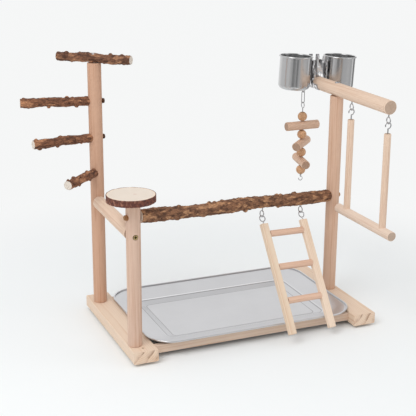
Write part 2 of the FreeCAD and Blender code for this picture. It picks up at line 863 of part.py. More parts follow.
def bracket_screws(extra=0.0):
    """Two small screws that hold the bracket's clip on the bar."""
    bodies = []
    for y in (bracket_middle_y - bracket_length / 5, bracket_middle_y + bracket_length / 5):
        seat = V(bar_x, y, bar_height + bar_diameter / 2 + bracket_sheet)
        if extra:
            bodies.append(rod(seat - UP * (bracket_screw_depth + bracket_sheet), seat + UP,
                              bracket_screw_diameter + 2 * extra))
        else:
            bodies.append(screw(seat, DOWN, bracket_screw_depth + bracket_sheet,
                                bracket_screw_diameter, 2 * bracket_screw_diameter,
                                bracket_screw_head_height))
    return [rolled(body) for body in bodies]


def cup_hanger(side):
    """Bent strip on a cup: it hooks over the bracket's side plate and stands off the clip."""
    half = hanger_width / 2
    gap = hanger_gap
    plate_inner = side_plate_x - gap
    plate_outer = bracket_width / 2 + gap
    top = side_plate_top + gap
    sheet = bracket_sheet
    lip = ((plate_inner - sheet, top - hanger_lip), (plate_inner, top))
    roof = ((plate_inner - sheet, top), (hanger_outer_x, top + sheet))
    back = ((hanger_outer_x - sheet, top - hanger_drop), (hanger_outer_x, top + sheet))
    foot_reach = bar_diameter / 2 + bracket_sheet + gap
    foot_lip = ((foot_reach, top - hanger_drop), (hanger_outer_x, top - hanger_drop + sheet))
    pieces = []
    for low, high in (lip, roof, back, foot_lip):
        xs = sorted((bar_x + side * low[0], bar_x + side * high[0]))
        pieces.append(box(V(xs[0], cup_middle_y - half, low[1]), V(xs[1], cup_middle_y + half, high[1])))
    return rolled(fused(pieces))


# ---- hanging toy
toy_x = bar_x
toy_axis_height = bar_bottom - eye_reach(toy_eye_stem)
toy_link_top = toy_axis_height + toy_link_wire / 2 + wire / 2 + link_clearance
toy_link_low = toy_link_top - toy_link_length
toy_wire_top = toy_link_low + toy_link_wire / 2 + toy_loop_wire / 2 + link_clearance
toy_loop_centre = toy_wire_top - toy_loop_inner / 2 - toy_loop_wire / 2
toy_shank_top = toy_loop_centre - toy_loop_inner / 2 - toy_loop_wire / 2


def toy_link():
    """Long oval link between the bar's eye and the toy's wire, square to the eye."""
    straight = toy_link_length - toy_link_width
    high = V(toy_x, toy_y, toy_link_top - toy_link_width / 2)
    low = V(toy_x, toy_y, toy_link_low + toy_link_width / 2)
    radius = toy_link_width / 2
    inner = toy_link_width - toy_link_wire
    upper = bent_ring(high, BACK * -1, RIGHT, inner, toy_link_wire, 180)
    lower = bent_ring(low, BACK, RIGHT, inner, toy_link_wire, 180)
    sides = [rod(low + RIGHT * (radius * side), low + RIGHT * (radius * side) + UP * straight,
                 toy_link_wire) for side in (-1, 1)]
    return fused([upper, lower] + sides)


def toy_stack():
    """Middle heights of the beads and sticks on the wire, from the top down."""
    rows = []
    height = toy_shank_top - toy_neck
    for number in range(4):
        rows.append(("bead", number, height - toy_bead_diameter / 2))
        height -= toy_bead_diameter + toy_stack_gap
        if number < 3:
            rows.append(("stick", number, height - toy_stick_diameter / 2))
            height -= toy_stick_diameter + toy_stack_gap
    return rows


def toy_stack_low():
    """Height of the underside of the lowest bead."""
    return toy_stack()[-1][2] - toy_bead_diameter / 2


def toy_wire_foot():
    """Height of the lower end of the toy's wire."""
    return toy_stack_low() - toy_stack_gap - 2 * toy_wire


def toy_hook_centre():
    """Middle of the open hook, whose wire butts on the end of the toy's wire."""
    hook_radius = toy_hook_inner / 2 + toy_loop_wire / 2
    return V(toy_x, toy_y, toy_wire_foot() - toy_loop_wire / 2 - hook_radius)


def toy_hook():
    """Open hook below the lowest bead, with a short neck that meets the wire's end."""
    hook = bent_ring(toy_hook_centre(), BACK, UP, toy_hook_inner, toy_loop_wire, toy_hook_sweep)
    foot_place = V(toy_x, toy_y, toy_wire_foot())
    neck = rod(foot_place, foot_place - UP * toy_loop_wire * 0.8, toy_wire)
    return fused([hook, neck])


def toy_wire_body():
    """Straight wire with a closed loop at its top and a round stop at its foot."""
    loop = ring(V(toy_x, toy_y, toy_loop_centre), RIGHT, toy_loop_inner, toy_loop_wire)
    low = toy_stack_low() - toy_stack_gap
    top = V(toy_x, toy_y, toy_shank_top + toy_loop_wire * 0.2)
    shank = rod(V(toy_x, toy_y, toy_wire_foot()), top, toy_wire)
    stop = Part.makeSphere(toy_wire, V(toy_x, toy_y, low - toy_wire))
    return fused([loop, shank, stop])


def toy_bead(height):
    """Round wooden bead on the wire."""
    ball = Part.makeSphere(toy_bead_diameter / 2, V(toy_x, toy_y, height))
    bore = rod(V(toy_x, toy_y, height - toy_bead_diameter), V(toy_x, toy_y, height + toy_bead_diameter),
               toy_wire + 2 * toy_spin_clearance)
    return ball.cut(bore)


def toy_stick(number, height):
    """Dowel stick, bored across its middle, that turns about the wire."""
    reach = turned(toy_stick_azimuths[number]) * (toy_stick_length / 2)
    middle = V(toy_x, toy_y, height)
    bar = rod(middle - reach, middle + reach, toy_stick_diameter)
    rims = [edge for edge in bar.Edges if isinstance(edge.Curve, Part.Circle)]
    bar = bar.makeChamfer(post_edge, rims)
    bore = rod(middle - UP * toy_stick_diameter, middle + UP * toy_stick_diameter,
               toy_wire + 2 * toy_spin_clearance)
    return bar.cut(bore)


# ---- the whole stand
def carved(shape, cutters):
    """A piece with the bores of its fasteners cut out."""
    for cutter in cutters:
        shape = shape.cut(cutter)
    return shape


def frame_nodes():
    """Feet, rails, posts, platform, perches and bar, with all that fastens them."""
    pins = rail_pins(fastener_clearance)
    sinks = post_screw_bodies(fastener_clearance)
    dowel_bores = cross_dowel_screws(fastener_clearance)
    perch_bores = [bolt(root, way, fastener_clearance) for root, way in perch_bolt_lines()]
    branch_bores = [bolt(root, way, fastener_clearance) for root, way in branch_bolt_lines()]
    plain_tall = Part.makeCylinder(post_diameter / 2, tall_post_length, tall_post_foot, UP)
    plain_front = Part.makeCylinder(post_diameter / 2, front_post_length, front_post_foot, UP)
    bar = top_bar()
    perch_on_top = top_perch()
    bar_screw_bore = top_bar_screw(fastener_clearance)
    perch_screw_bore = top_perch_screw(fastener_clearance)
    platform_bore = platform_screw(fastener_clearance)
    bar_eyes = [eye_hole(place, DOWN) for place in swing_eye_places()]
    toy_eye_bore = eye_hole(V(toy_x, toy_y, bar_bottom), DOWN)
    ladder_eyes = [eye_hole(*branch_eye_line(across)[:2]) for across in (0, ladder_pitch)]

    nodes = {}
    nodes["left_foot"] = carved(foot(0), pins + sinks)
    nodes["right_foot"] = carved(foot(base_length - foot_width), pins + sinks)
    nodes["front_rail"] = carved(rail(front_rail_y), pins)
    nodes["rear_rail"] = carved(rail(rear_rail_y), pins)
    nodes["rail_pins"] = Part.makeCompound(rail_pins())
    nodes["rubber_pads"] = Part.makeCompound(foot_pads())
    nodes["tall_post"] = carved(
        post(tall_post_foot, tall_post_length),
        sinks + dowel_bores + perch_bores + [perch_on_top, perch_screw_bore])
    nodes["front_post"] = carved(
        post(front_post_foot, front_post_length),
        sinks + dowel_bores + branch_bores + [platform_bore])
    nodes["right_post"] = carved(
        post(right_post_foot, right_post_length),
        sinks + branch_bores + [bar, bar_screw_bore])
    nodes["post_screws"] = Part.makeCompound(post_screw_bodies())
    nodes["cross_dowel"] = carved(cross_dowel((plain_tall, plain_front)), dowel_bores)
    nodes["cross_dowel_screws"] = Part.makeCompound(cross_dowel_screws())
    nodes["platform"] = carved(platform(), [platform_bore])
    nodes["platform_screw"] = platform_screw()
    nodes["top_perch"] = carved(perch_on_top, [perch_screw_bore])
    nodes["top_perch_screw"] = top_perch_screw()
    for number, name in enumerate(("upper", "middle", "lower")):
        perch = side_perch(number, plain_tall)
        nodes[name + "_side_perch"] = carved(perch, [perch_bores[number]])
    nodes["perch_bolts"] = Part.makeCompound([bolt(root, way) for root, way in perch_bolt_lines()])
    nodes["perch_nuts"] = Part.makeCompound(
        [nut_and_washer(root, way) for root, way in perch_bolt_lines()])
    nodes["bridge_branch"] = carved(bridge_branch(), branch_bores + ladder_eyes)
    nodes["branch_bolts"] = Part.makeCompound([bolt(root, way) for root, way in branch_bolt_lines()])
    nodes["branch_nuts"] = Part.makeCompound(
        [nut_and_washer(root, way) for root, way in branch_bolt_lines()])
    bracket_bores = bracket_screws(fastener_clearance)
    nodes["top_bar"] = carved(bar, [bar_screw_bore, toy_eye_bore] + bar_eyes + bracket_bores)
    nodes["top_bar_screw"] = top_bar_screw()
    return nodes


def hanging_nodes():
    """Tray, cups, swing, ladder and toy, with the hardware that carries them."""
    nodes = {}
    nodes["tray"] = tray()
    nodes["cup_bracket"] = cup_bracket()
    nodes["cup_bracket_screws"] = Part.makeCompound(bracket_screws())
    for side, name in ((-1, "left"), (1, "right")):
        nodes[name + "_cup"] = cup(side)
        nodes[name + "_cup_hanger"] = cup_hanger(side)
    nodes["swing_eyes"] = Part.makeCompound(
        [eye_screw(place, DOWN, RIGHT) for place in swing_eye_places()])
    nodes["swing_hooks"] = Part.makeCompound([swing_hook(y) for y in (swing_front_y, swing_rear_y)])
    nodes["swing_front_rod"] = swing_rod(swing_front_y)
    nodes["swing_rear_rod"] = swing_rod(swing_rear_y)
    nodes["swing_perch"] = swing_perch()
    nodes["branch_eyes"] = Part.makeCompound([branch_eye(across) for across in (0, ladder_pitch)])
    nodes["ladder_eyes"] = Part.makeCompound([ladder_eye(across) for across in (0, ladder_pitch)])
    nodes["ladder_left_rail"] = ladder_rail(0)
    nodes["ladder_right_rail"] = ladder_rail(ladder_pitch)
    nodes["ladder_rungs"] = Part.makeCompound([ladder_rung(row) for row in ladder_rung_rows()])
    nodes["toy_eye"] = eye_screw(V(toy_x, toy_y, bar_bottom), DOWN, RIGHT, toy_eye_stem)
    nodes["toy_link"] = toy_link()
    nodes["toy_wire"] = toy_wire_body()
    nodes["toy_hook"] = toy_hook()
    for kind, number, height in toy_stack():
        if kind == "bead":
            nodes["toy_bead_%d" % (number + 1)] = toy_bead(height)
        else:
            nodes["toy_stick_%d" % (number + 1)] = toy_stick(number, height)
    return nodes


def stand_nodes():
    """All named pieces, moved so that the origin is under the middle of the stand."""
    nodes = frame_nodes()
    nodes.update(hanging_nodes())
    bounds = FreeCAD.BoundBox()
    for shape in nodes.values():
        bounds.add(shape.optimalBoundingBox(False))
    shift = V(-bounds.Center.x, -bounds.Center.y, -bounds.ZMin)
    return {name: moved(shape, shift) for name, shape in nodes.items()}, shift, bounds


def main():
    """Build every piece and write one file for each."""
    os.makedirs("parts", exist_ok=True)
    nodes, shift, bounds = stand_nodes()
    for name, shape in nodes.items():
        if not shape.isValid():
            raise ValueError(name + " is not a valid shape")
        shape.exportStep(os.path.join("parts", name + ".step"))
    print("pieces", len(nodes), "size", round(bounds.XLength, 1), round(bounds.YLength, 1),
          round(bounds.ZLength, 1), "shift", [round(value, 3) for value in shift])


if __name__ == "__main__":
    main()
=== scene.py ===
"""Parrot play stand: bark perches, sanded dowels, pressed steel and the studio around them."""
import math
import random

import bpy
from mathutils import Matrix, Vector


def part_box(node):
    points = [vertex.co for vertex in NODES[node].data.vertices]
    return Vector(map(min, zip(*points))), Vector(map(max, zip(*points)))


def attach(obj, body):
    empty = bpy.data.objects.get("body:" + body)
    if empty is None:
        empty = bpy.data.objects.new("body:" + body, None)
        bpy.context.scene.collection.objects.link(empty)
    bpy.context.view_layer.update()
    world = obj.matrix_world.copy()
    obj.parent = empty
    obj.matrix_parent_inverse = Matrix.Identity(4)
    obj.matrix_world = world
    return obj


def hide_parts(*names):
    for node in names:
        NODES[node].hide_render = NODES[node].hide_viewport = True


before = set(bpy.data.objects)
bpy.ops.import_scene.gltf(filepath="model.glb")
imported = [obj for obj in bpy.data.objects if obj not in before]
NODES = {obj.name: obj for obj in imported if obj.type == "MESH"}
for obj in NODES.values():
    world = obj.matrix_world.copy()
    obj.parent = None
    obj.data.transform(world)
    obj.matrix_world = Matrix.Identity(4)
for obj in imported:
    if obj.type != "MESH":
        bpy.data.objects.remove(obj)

bl_info = {
    "name": "Parrot Play Stand",
    "version": (1, 0, 0),
    "blender": (4, 5, 0),
    "location": "View3D > Sidebar > Play Stand",
    "description": "Builds the looks of a table-top parrot play stand over its CAD frame",
    "category": "Object",
}

UP = Vector((0, 0, 1))
BACK = Vector((0, 1, 0))
RIGHT = Vector((1, 0, 0))
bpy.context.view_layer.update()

# The solved view of the photograph, in the frame of the CAD model.
CAMERA_PLACE = Vector((-0.72058, -1.63770, 0.77831))
CAMERA_TURN = math.radians(23.08)
CAMERA_DOWN = math.radians(17.23)
CAMERA_ROLL = math.radians(0.35)
CAMERA_LENS = 88.76
SENSOR_WIDTH = 36.0


# ---------------------------------------------------------------- sizes and colours
def colour(label, text, default):
    """A colour that a user may change."""
    return bpy.props.FloatVectorProperty(name=label, description=text, subtype="COLOR", size=3,
                                         min=0.0, max=1.0, default=default)


def length(label, text, default):
    """A length in metres that a user may change."""
    return bpy.props.FloatProperty(name=label, description=text, unit="LENGTH", precision=5,
                                   min=0.0, default=default)


class StandSizes(bpy.types.PropertyGroup):
    """Sizes of the bark, the grain and the small parts."""
    bridge_thickness: length("Bridge branch thickness", "Diameter of the long branch", 0.0250)
    perch_thickness: length("Perch thickness", "Diameter of the short branch perches", 0.0179)
    bark_voxel: length("Bark mesh size", "Size of the faces on the bark", 0.0009)
    bark_lumps: length("Bark lumps", "Depth of the wide swellings of the bark", 0.0034)
    bark_ridges: length("Bark ridges", "Depth of the fine ridges of the bark", 0.0013)
    platform_bark: length("Platform bark", "Thickness of the bark round the log slice", 0.0016)
    ring_spacing: length("Ring spacing", "Distance between the growth rings of the dowels", 0.0021)
    pine_spacing: length("Pine ring spacing", "Distance between the growth rings of the pine", 0.0036)
    recess_width: length("Recess width", "Width of the cross recess in the screws", 0.0052)


class StandColours(bpy.types.PropertyGroup):
    """Colours of the woods, the bark, the metals and the rubber."""
    dowel_light: colour("Dowel, light", "Early wood of the dowels", (0.790, 0.600, 0.465))
    dowel_dark: colour("Dowel, dark", "Late wood of the dowels", (0.640, 0.425, 0.300))
    pine_light: colour("Pine, light", "Early wood of the feet and rails", (0.840, 0.680, 0.500))
    pine_dark: colour("Pine, dark", "Late wood of the feet and rails", (0.640, 0.400, 0.220))
    toy_light: colour("Toy wood, light", "Early wood of the beads and sticks", (0.700, 0.480, 0.310))
    toy_dark: colour("Toy wood, dark", "Late wood of the beads and sticks", (0.460, 0.270, 0.140))
    bark_deep: colour("Bark, deep", "Crevices of the bark", (0.085, 0.035, 0.018))
    bark_brown: colour("Bark, brown", "Main tone of the bark", (0.300, 0.140, 0.070))
    bark_tan: colour("Bark, tan", "Rubbed and scarred places of the bark", (0.600, 0.315, 0.160))
    slice_bark: colour("Platform bark", "Bark round the log slice", (0.190, 0.062, 0.036))
    cut_wood: colour("Cut wood", "Freshly sawn ends and the platform's top", (0.800, 0.710, 0.620))
    tray_steel: colour("Tray steel", "Satin steel of the tray", (0.690, 0.690, 0.705))
    cup_steel: colour("Cup steel", "Polished steel of the cups", (0.640, 0.640, 0.645))
    zinc: colour("Zinc", "Plating of the screws, eyes and hooks", (0.560, 0.560, 0.570))
    nut_brown: colour("Bronzed nuts", "Dark plating of the nuts and washers", (0.470, 0.260, 0.130))
    brass: colour("Brass", "Yellow plating of the screws in the posts", (0.600, 0.450, 0.210))
    rubber: colour("Rubber", "Pads under the feet", (0.020, 0.020, 0.020))
    floor: colour("Floor", "Floor and backdrop", (0.918, 0.926, 0.926))


# ---------------------------------------------------------------- shader maths
class Flow:
    """A shader socket that takes part in Python sums; each operator adds its Math node."""

    def __init__(self, finish, socket):
        self.finish = finish
        self.socket = socket

    def sum(self, operation, *others):
        """A Math node with this flow first."""
        values = {number + 1: other for number, other in enumerate(others)}
        values[0] = self
        return self.finish.add("ShaderNodeMath", {"operation": operation}, values)

    def reflected(self, operation, other):
        """A Math node with this flow last."""
        return self.finish.add("ShaderNodeMath", {"operation": operation}, {0: other, 1: self})

    def __add__(self, other):
        return self.sum("ADD", other)

    def __radd__(self, other):
        return self.reflected("ADD", other)

    def __sub__(self, other):
        return self.sum("SUBTRACT", other)

    def __rsub__(self, other):
        return self.reflected("SUBTRACT", other)

    def __mul__(self, other):
        return self.sum("MULTIPLY", other)

    def __rmul__(self, other):
        return self.reflected("MULTIPLY", other)

    def __truediv__(self, other):
        return self.sum("DIVIDE", other)

    def __rtruediv__(self, other):
        return self.reflected("DIVIDE", other)

    def __pow__(self, other):
        return self.sum("POWER", other)

    def __abs__(self):
        return self.sum("ABSOLUTE")

    def fraction(self):
        return self.sum("FRACT")

    def root(self):
        return self.sum("SQRT")

    def least(self, other):
        return self.sum("MINIMUM", other)

    def most(self, other):
        return self.sum("MAXIMUM", other)

    def step(self, low, high):
        """0 below low, 1 above high and smooth between them."""
        return self.finish.add("ShaderNodeMapRange", {"interpolation_type": "SMOOTHSTEP"},
                               {"Value": self, "From Min": low, "From Max": high})


class Finish:
    """A material whose nodes are added one by one, and the pieces that wear it."""

    def __init__(self, name, base=(0.8, 0.8, 0.8), roughness=0.5, metallic=0.0):
        self.material = bpy.data.materials.new(name)
        self.material.use_nodes = True
        self.tree = self.material.node_tree
        self.shader = next(node for node in self.tree.nodes if node.type == "BSDF_PRINCIPLED")
        self.material.diffuse_color = (*base, 1.0)
        self.shader.inputs["Base Color"].default_value = (*base, 1.0)
        self.shader.inputs["Roughness"].default_value = roughness
        self.shader.inputs["Metallic"].default_value = metallic

    def add(self, kind, settings=None, values=None, output=0):
        """One node: its settings first, then the values or links of its sockets."""
        node = self.tree.nodes.new(kind)
        for key, value in (settings or {}).items():
            setattr(node, key, value)
        for key, value in (values or {}).items():
            self.feed(node.inputs[key], value)
        return Flow(self, node.outputs[output])

    def feed(self, socket, value):
        """Links a flow to a socket, or sets the socket's own value."""
        if isinstance(value, Flow):
            self.tree.links.new(value.socket, socket)
        elif isinstance(value, (tuple, Vector)) and socket.type == "RGBA":
            socket.default_value = (*tuple(value)[:3], 1.0)
        else:
            socket.default_value = value

    def give(self, name, flow):
        """Feeds an input of the surface shader."""
        self.feed(self.shader.inputs[name], flow)

    def blend(self, share, low, high):
        """Colour between two others."""
        node = self.tree.nodes.new("ShaderNodeMix")
        node.data_type = "RGBA"
        self.feed(node.inputs[0], share)
        self.feed(node.inputs[6], low)
        self.feed(node.inputs[7], high)
        return Flow(self, node.outputs[2])

    def along(self, start, way):
        """Object coordinates whose Z runs along a piece from one of its points."""
        place = self.add("ShaderNodeTexCoord", output=3)
        turn = Vector(way).to_track_quat("Z", "Y").to_euler()
        return self.add("ShaderNodeMapping", {"vector_type": "TEXTURE"},
                        {"Vector": place, "Location": Vector(start), "Rotation": turn})

    def stretched(self, place, by):
        """Coordinates scaled along each axis, so a large share makes a small pattern."""
        return self.add("ShaderNodeVectorMath", {"operation": "MULTIPLY"}, {0: place, 1: Vector(by)})

    def shifted(self, place, by):
        """Coordinates moved, so that no two pieces wear the same pattern."""
        return self.add("ShaderNodeVectorMath", {"operation": "ADD"}, {0: place, 1: Vector(by)})

    def parts(self, place):
        """The three coordinates one by one."""
        node = self.tree.nodes.new("ShaderNodeSeparateXYZ")
        self.feed(node.inputs[0], place)
        return [Flow(self, output) for output in node.outputs]

    def noise(self, place, scale, detail=3.0, roughness=0.5, distortion=0.0):
        return self.add("ShaderNodeTexNoise", None, {
            "Vector": place, "Scale": scale, "Detail": detail, "Roughness": roughness,
            "Distortion": distortion})

    def grain(self, place, shift, stretch, detail=2.0, roughness=0.5):
        """Noise drawn out along a piece."""
        return self.noise(self.stretched(self.shifted(place, shift), stretch), 1.0, detail, roughness)

    def cells(self, place, scale):
        """Distance to the nearest edge between cells."""
        return self.add("ShaderNodeTexVoronoi", {"feature": "DISTANCE_TO_EDGE"},
                        {"Vector": place, "Scale": scale})

    def facing(self, way):
        """How squarely the surface faces along a direction, either way."""
        normal = self.add("ShaderNodeTexCoord", output=1)
        product = self.tree.nodes.new("ShaderNodeVectorMath")
        product.operation = "DOT_PRODUCT"
        self.feed(product.inputs[0], normal)
        self.feed(product.inputs[1], Vector(way).normalized())
        return abs(Flow(self, product.outputs["Value"]))

    def bump(self, height, distance, strength=1.0):
        """Small relief of the surface."""
        self.give("Normal", self.add("ShaderNodeBump", None, {
            "Height": height, "Distance": distance, "Strength": strength}))

    def dress(self, piece):
        """Puts this finish on a piece in place of what it wore."""
        piece.data.materials.clear()
        piece.data.materials.append(self.material)


# ---------------------------------------------------------------- finishes
def growth_rings(finish, place, spacing, pith, seed):
    """Sharp-edged growth rings round a pith that lies beside the piece, 0 early to 1 late."""
    slow = finish.grain(place, (seed, 0, 0), (14, 14, 3))
    x, y = finish.parts(place)[:2]
    across = x - pith[0]
    up = y - pith[1]
    distance = (across * across + up * up).root() + slow * (spacing * 2.6)
    share = (distance / spacing).fraction()
    return share ** 2.6 * (1 - share.step(0.90, 1.0))


def tinted(base, tint):
    """A wood colour made lighter, darker or redder for one piece."""
    return tuple(part * share for part, share in zip(base, tint))


def sanded_wood(name, start, way, light, dark, spacing, seed, strength):
    """Bare sanded wood whose grain runs along the piece and whose ends show their rings."""
    finish = Finish(name, light, 0.62)
    place = finish.along(start, way)
    turn = seed * 2.4
    pith = (0.034 * math.cos(turn), 0.034 * math.sin(turn))
    rings = growth_rings(finish, place, spacing, pith, seed)
    fibre = finish.grain(place, (0, seed, 0), (900, 900, 22), 3.0, 0.6)
    flame = finish.grain(place, (0, 0, seed), (70, 70, 5), 3.0, 0.55)
    pores = finish.noise(finish.stretched(place, (2600, 2600, 130)), 1.0, 2.0).step(0.60, 0.72)
    streaks = finish.grain(place, (seed, seed, 0), (310, 310, 7))
    tone = rings * strength + (fibre - 0.5) * 0.85 + (flame - 0.5) * 1.25 + (streaks - 0.5) * 1.6
    body = finish.blend(tone.step(-0.15, 0.85), light, dark)
    body = finish.blend(pores * 0.22, body, tuple(part * 0.72 for part in dark))
    ends = finish.facing(way).step(0.80, 0.92)
    finish.give("Base Color", finish.blend(ends * 0.55, body, tuple(part * 0.42 for part in dark)))
    finish.give("Roughness", 0.56 + fibre * 0.16 + ends * 0.10)
    finish.bump(fibre * 0.6 + rings * 0.35 - pores * 0.5, 0.00018)
    return finish


# Where the heart of the tree lay beside the pine bars, and the rings that their sawn ends show.
PINE_HEART = (0.052, 0.040)
END_RING_SPACING = 0.0155


def knotty_pine(name, start, way, light, dark, spacing, seed, knots=()):
    """Planed pine: cream with orange late wood, resin streaks and small checks in the ends."""
    finish = Finish(name, light, 0.60)
    place = finish.along(start, way)
    turn = seed * 1.7 + 0.6
    pith = (0.026 * math.cos(turn), 0.026 * math.sin(turn))
    rings = growth_rings(finish, place, spacing, pith, seed)
    fibre = finish.grain(place, (seed, 0, 0), (760, 760, 16), 3.0, 0.6)
    flame = finish.grain(place, (0, seed, 0), (60, 60, 4))
    ends = finish.facing(way).step(0.80, 0.92)
    tone = rings * 0.55 + (fibre - 0.5) * 0.55 + (flame - 0.5) * 0.95
    body = finish.blend(tone.step(-0.05, 1.0), light, dark)
    across, height = finish.parts(finish.add("ShaderNodeTexCoord", output=3))[::2]
    across = across - (start.x - PINE_HEART[0])
    height = height - (start.z + PINE_HEART[1])
    arc = (((across * across + height * height).root() + flame * 0.009) / END_RING_SPACING).fraction()
    patch = finish.noise(finish.stretched(place, (55, 55, 4)), 1.0, 2.0)
    ring = arc ** 3.5 * (1 - arc.step(0.90, 1.0)) * ends
    body = finish.blend(ring * 0.62, body, tinted(dark, (0.72, 0.58, 0.52)))
    split = ring * patch.step(0.52, 0.62)
    body = finish.blend(split * 0.85, body, tinted(dark, (0.36, 0.26, 0.22)))
    for centre, radius in knots:
        away = finish.add("ShaderNodeVectorMath", {"operation": "DISTANCE"},
                          {0: finish.add("ShaderNodeTexCoord", output=3), 1: Vector(centre)}, output=1)
        core = 1 - (away / radius).step(0.75, 1.05)
        halo = 1 - (away / (radius * 2.4)).step(0.5, 1.0)
        body = finish.blend(halo * 0.45, body, dark)
        body = finish.blend(core * 0.85, body, tuple(part * 0.30 for part in dark))
    finish.give("Base Color", body)
    finish.give("Roughness", 0.54 + fibre * 0.18 + ends * 0.10)
    finish.bump(fibre * 0.6 + rings * 0.4 - split * 1.5, 0.0002)
    return finish


SAWN_REACH = 0.0009


def bark(name, start, end, colours, seed, tint=(1.0, 1.0, 1.0)):
    """Knobbly bark: deep crevices, brown plates, tan scars, and sawn ends with rings."""
    deep = tinted(colours.bark_deep, tint)
    main = tinted(colours.bark_brown, tint)
    tan = tinted(colours.bark_tan, tint)
    finish = Finish(name, main, 0.80)
    way = end - start
    reach = way.length
    place = finish.along(start, way)
    drawn = finish.shifted(finish.stretched(place, (1, 1, 0.42)), (seed, seed, 0))
    plates = finish.noise(drawn, 210.0, 5.0, 0.62, 0.35)
    scars = finish.noise(finish.shifted(drawn, (0.3, 0, 0)), 120.0, 3.0, 0.45, 0.3)
    grit = finish.noise(drawn, 1100.0, 3.0, 0.7)
    cracks = finish.cells(finish.shifted(drawn, (0, 0.2, 0)), 260.0)
    brown = finish.blend(plates.step(0.34, 0.62), deep, main)
    worn = scars.step(0.53, 0.63) * (0.58 + grit * 0.5)
    skin = finish.blend(worn.least(1.0) * 0.90, brown, tan)
    skin = finish.blend((1 - cracks.step(0.02, 0.16)) * 0.42, skin, deep)
    x, y, z = finish.parts(place)
    from_pith = ((x * x + y * y).root() + plates * 0.0006) / 0.0011
    rings = from_pith.fraction() ** 2.0
    sawn = finish.blend(rings * 0.40 + grit * 0.15, tuple(colours.cut_wood),
                        tuple(part * 0.60 for part in colours.cut_wood))
    outside = (z - reach + SAWN_REACH).step(0.0, 0.0003).most((SAWN_REACH - z).step(0.0, 0.0003))
    ends = outside * finish.facing(way).step(0.60, 0.80)
    finish.give("Base Color", finish.blend(ends, skin, sawn))
    finish.give("Roughness", 0.78 + grit * 0.16 - ends * 0.10)
    finish.bump(plates * 0.8 + cracks.step(0.0, 0.3) * 0.7 + grit * 0.35, 0.0007)
    return finish


def log_slice(name, centre, radius, bark_depth, colours):
    """Sawn slice of a log: pale rings round an off-centre pith and a reddish rim of bark."""
    finish = Finish(name, colours.cut_wood, 0.66)
    place = finish.along(centre, UP)
    x, y = finish.parts(place)[:2]
    edge = (x * x + y * y).root()
    wobble = finish.noise(finish.stretched(place, (60, 60, 0)), 1.0, 3.0)
    across = x + 0.006
    up = y - 0.003
    ring = (((across * across + up * up).root() + wobble * 0.0042) / 0.0026).fraction()
    rings = ring ** 2.0 * (1 - ring.step(0.88, 1.0))
    rays = finish.noise(finish.stretched(place, (420, 420, 60)), 1.0, 3.0, 0.6)
    cloud = finish.noise(finish.stretched(place, (45, 45, 10)), 1.0, 2.0)
    wood = finish.blend(rings * 0.26 + (rays - 0.5) * 0.22 + (cloud - 0.4) * 0.30,
                        tuple(colours.cut_wood), tinted(colours.cut_wood, (0.78, 0.68, 0.56)))
    heart = 1 - ((across * across + up * up).root() / 0.0045).step(0.2, 1.0)
    wood = finish.blend(heart * 0.45, wood, (0.560, 0.330, 0.260))
    sap = edge.step(radius - bark_depth - 0.0034, radius - bark_depth - 0.0016)
    wood = finish.blend(sap * 0.55, wood, (0.900, 0.700, 0.520))
    drawn = finish.stretched(place, (1, 1, 0.8))
    plates = finish.noise(drawn, 240.0, 5.0, 0.65, 0.4)
    scars = finish.noise(finish.shifted(drawn, (0.4, 0.1, 0)), 170.0, 3.0).step(0.55, 0.68)
    skin = finish.blend(plates.step(0.35, 0.65), (0.075, 0.022, 0.018), tuple(colours.slice_bark))
    skin = finish.blend(scars * 0.60, skin, (0.420, 0.200, 0.130))
    rim = edge.step(radius - bark_depth - 0.0003, radius - bark_depth)
    side = 1 - finish.facing(UP).step(0.45, 0.70)
    cover = rim.most(side)
    finish.give("Base Color", finish.blend(cover, wood, skin))
    finish.give("Roughness", 0.62 + cover * 0.18)
    finish.bump(plates * cover * 1.0 + (1 - cover) * (rays * 0.12 + rings * 0.10), 0.0006)
    return finish


def brushed_metal(name, base, roughness, place_scale, wear=0.05, strength=0.00003):
    """Metal with fine drawn lines and a few rubbed clouds."""
    finish = Finish(name, base, roughness, 1.0)
    place = finish.add("ShaderNodeTexCoord", output=3)
    lines = finish.noise(finish.stretched(place, place_scale), 1.0, 3.0, 0.6)
    clouds = finish.noise(place, 26.0, 3.0)
    dark = tuple(part * 0.86 for part in base)
    finish.give("Base Color", finish.blend(lines * 0.5 + (clouds - 0.4) * 0.5, tuple(base), dark))
    finish.give("Roughness", roughness + (lines - 0.5) * wear + (clouds - 0.5) * wear)
    finish.bump(lines, strength)
    return finish


# The tray's two creases: how far each lies inside the rim, and the radius of its corners.
BORDER_CREASE = (0.0435, 0.016)
WELL_CREASE = (0.0585, 0.009)


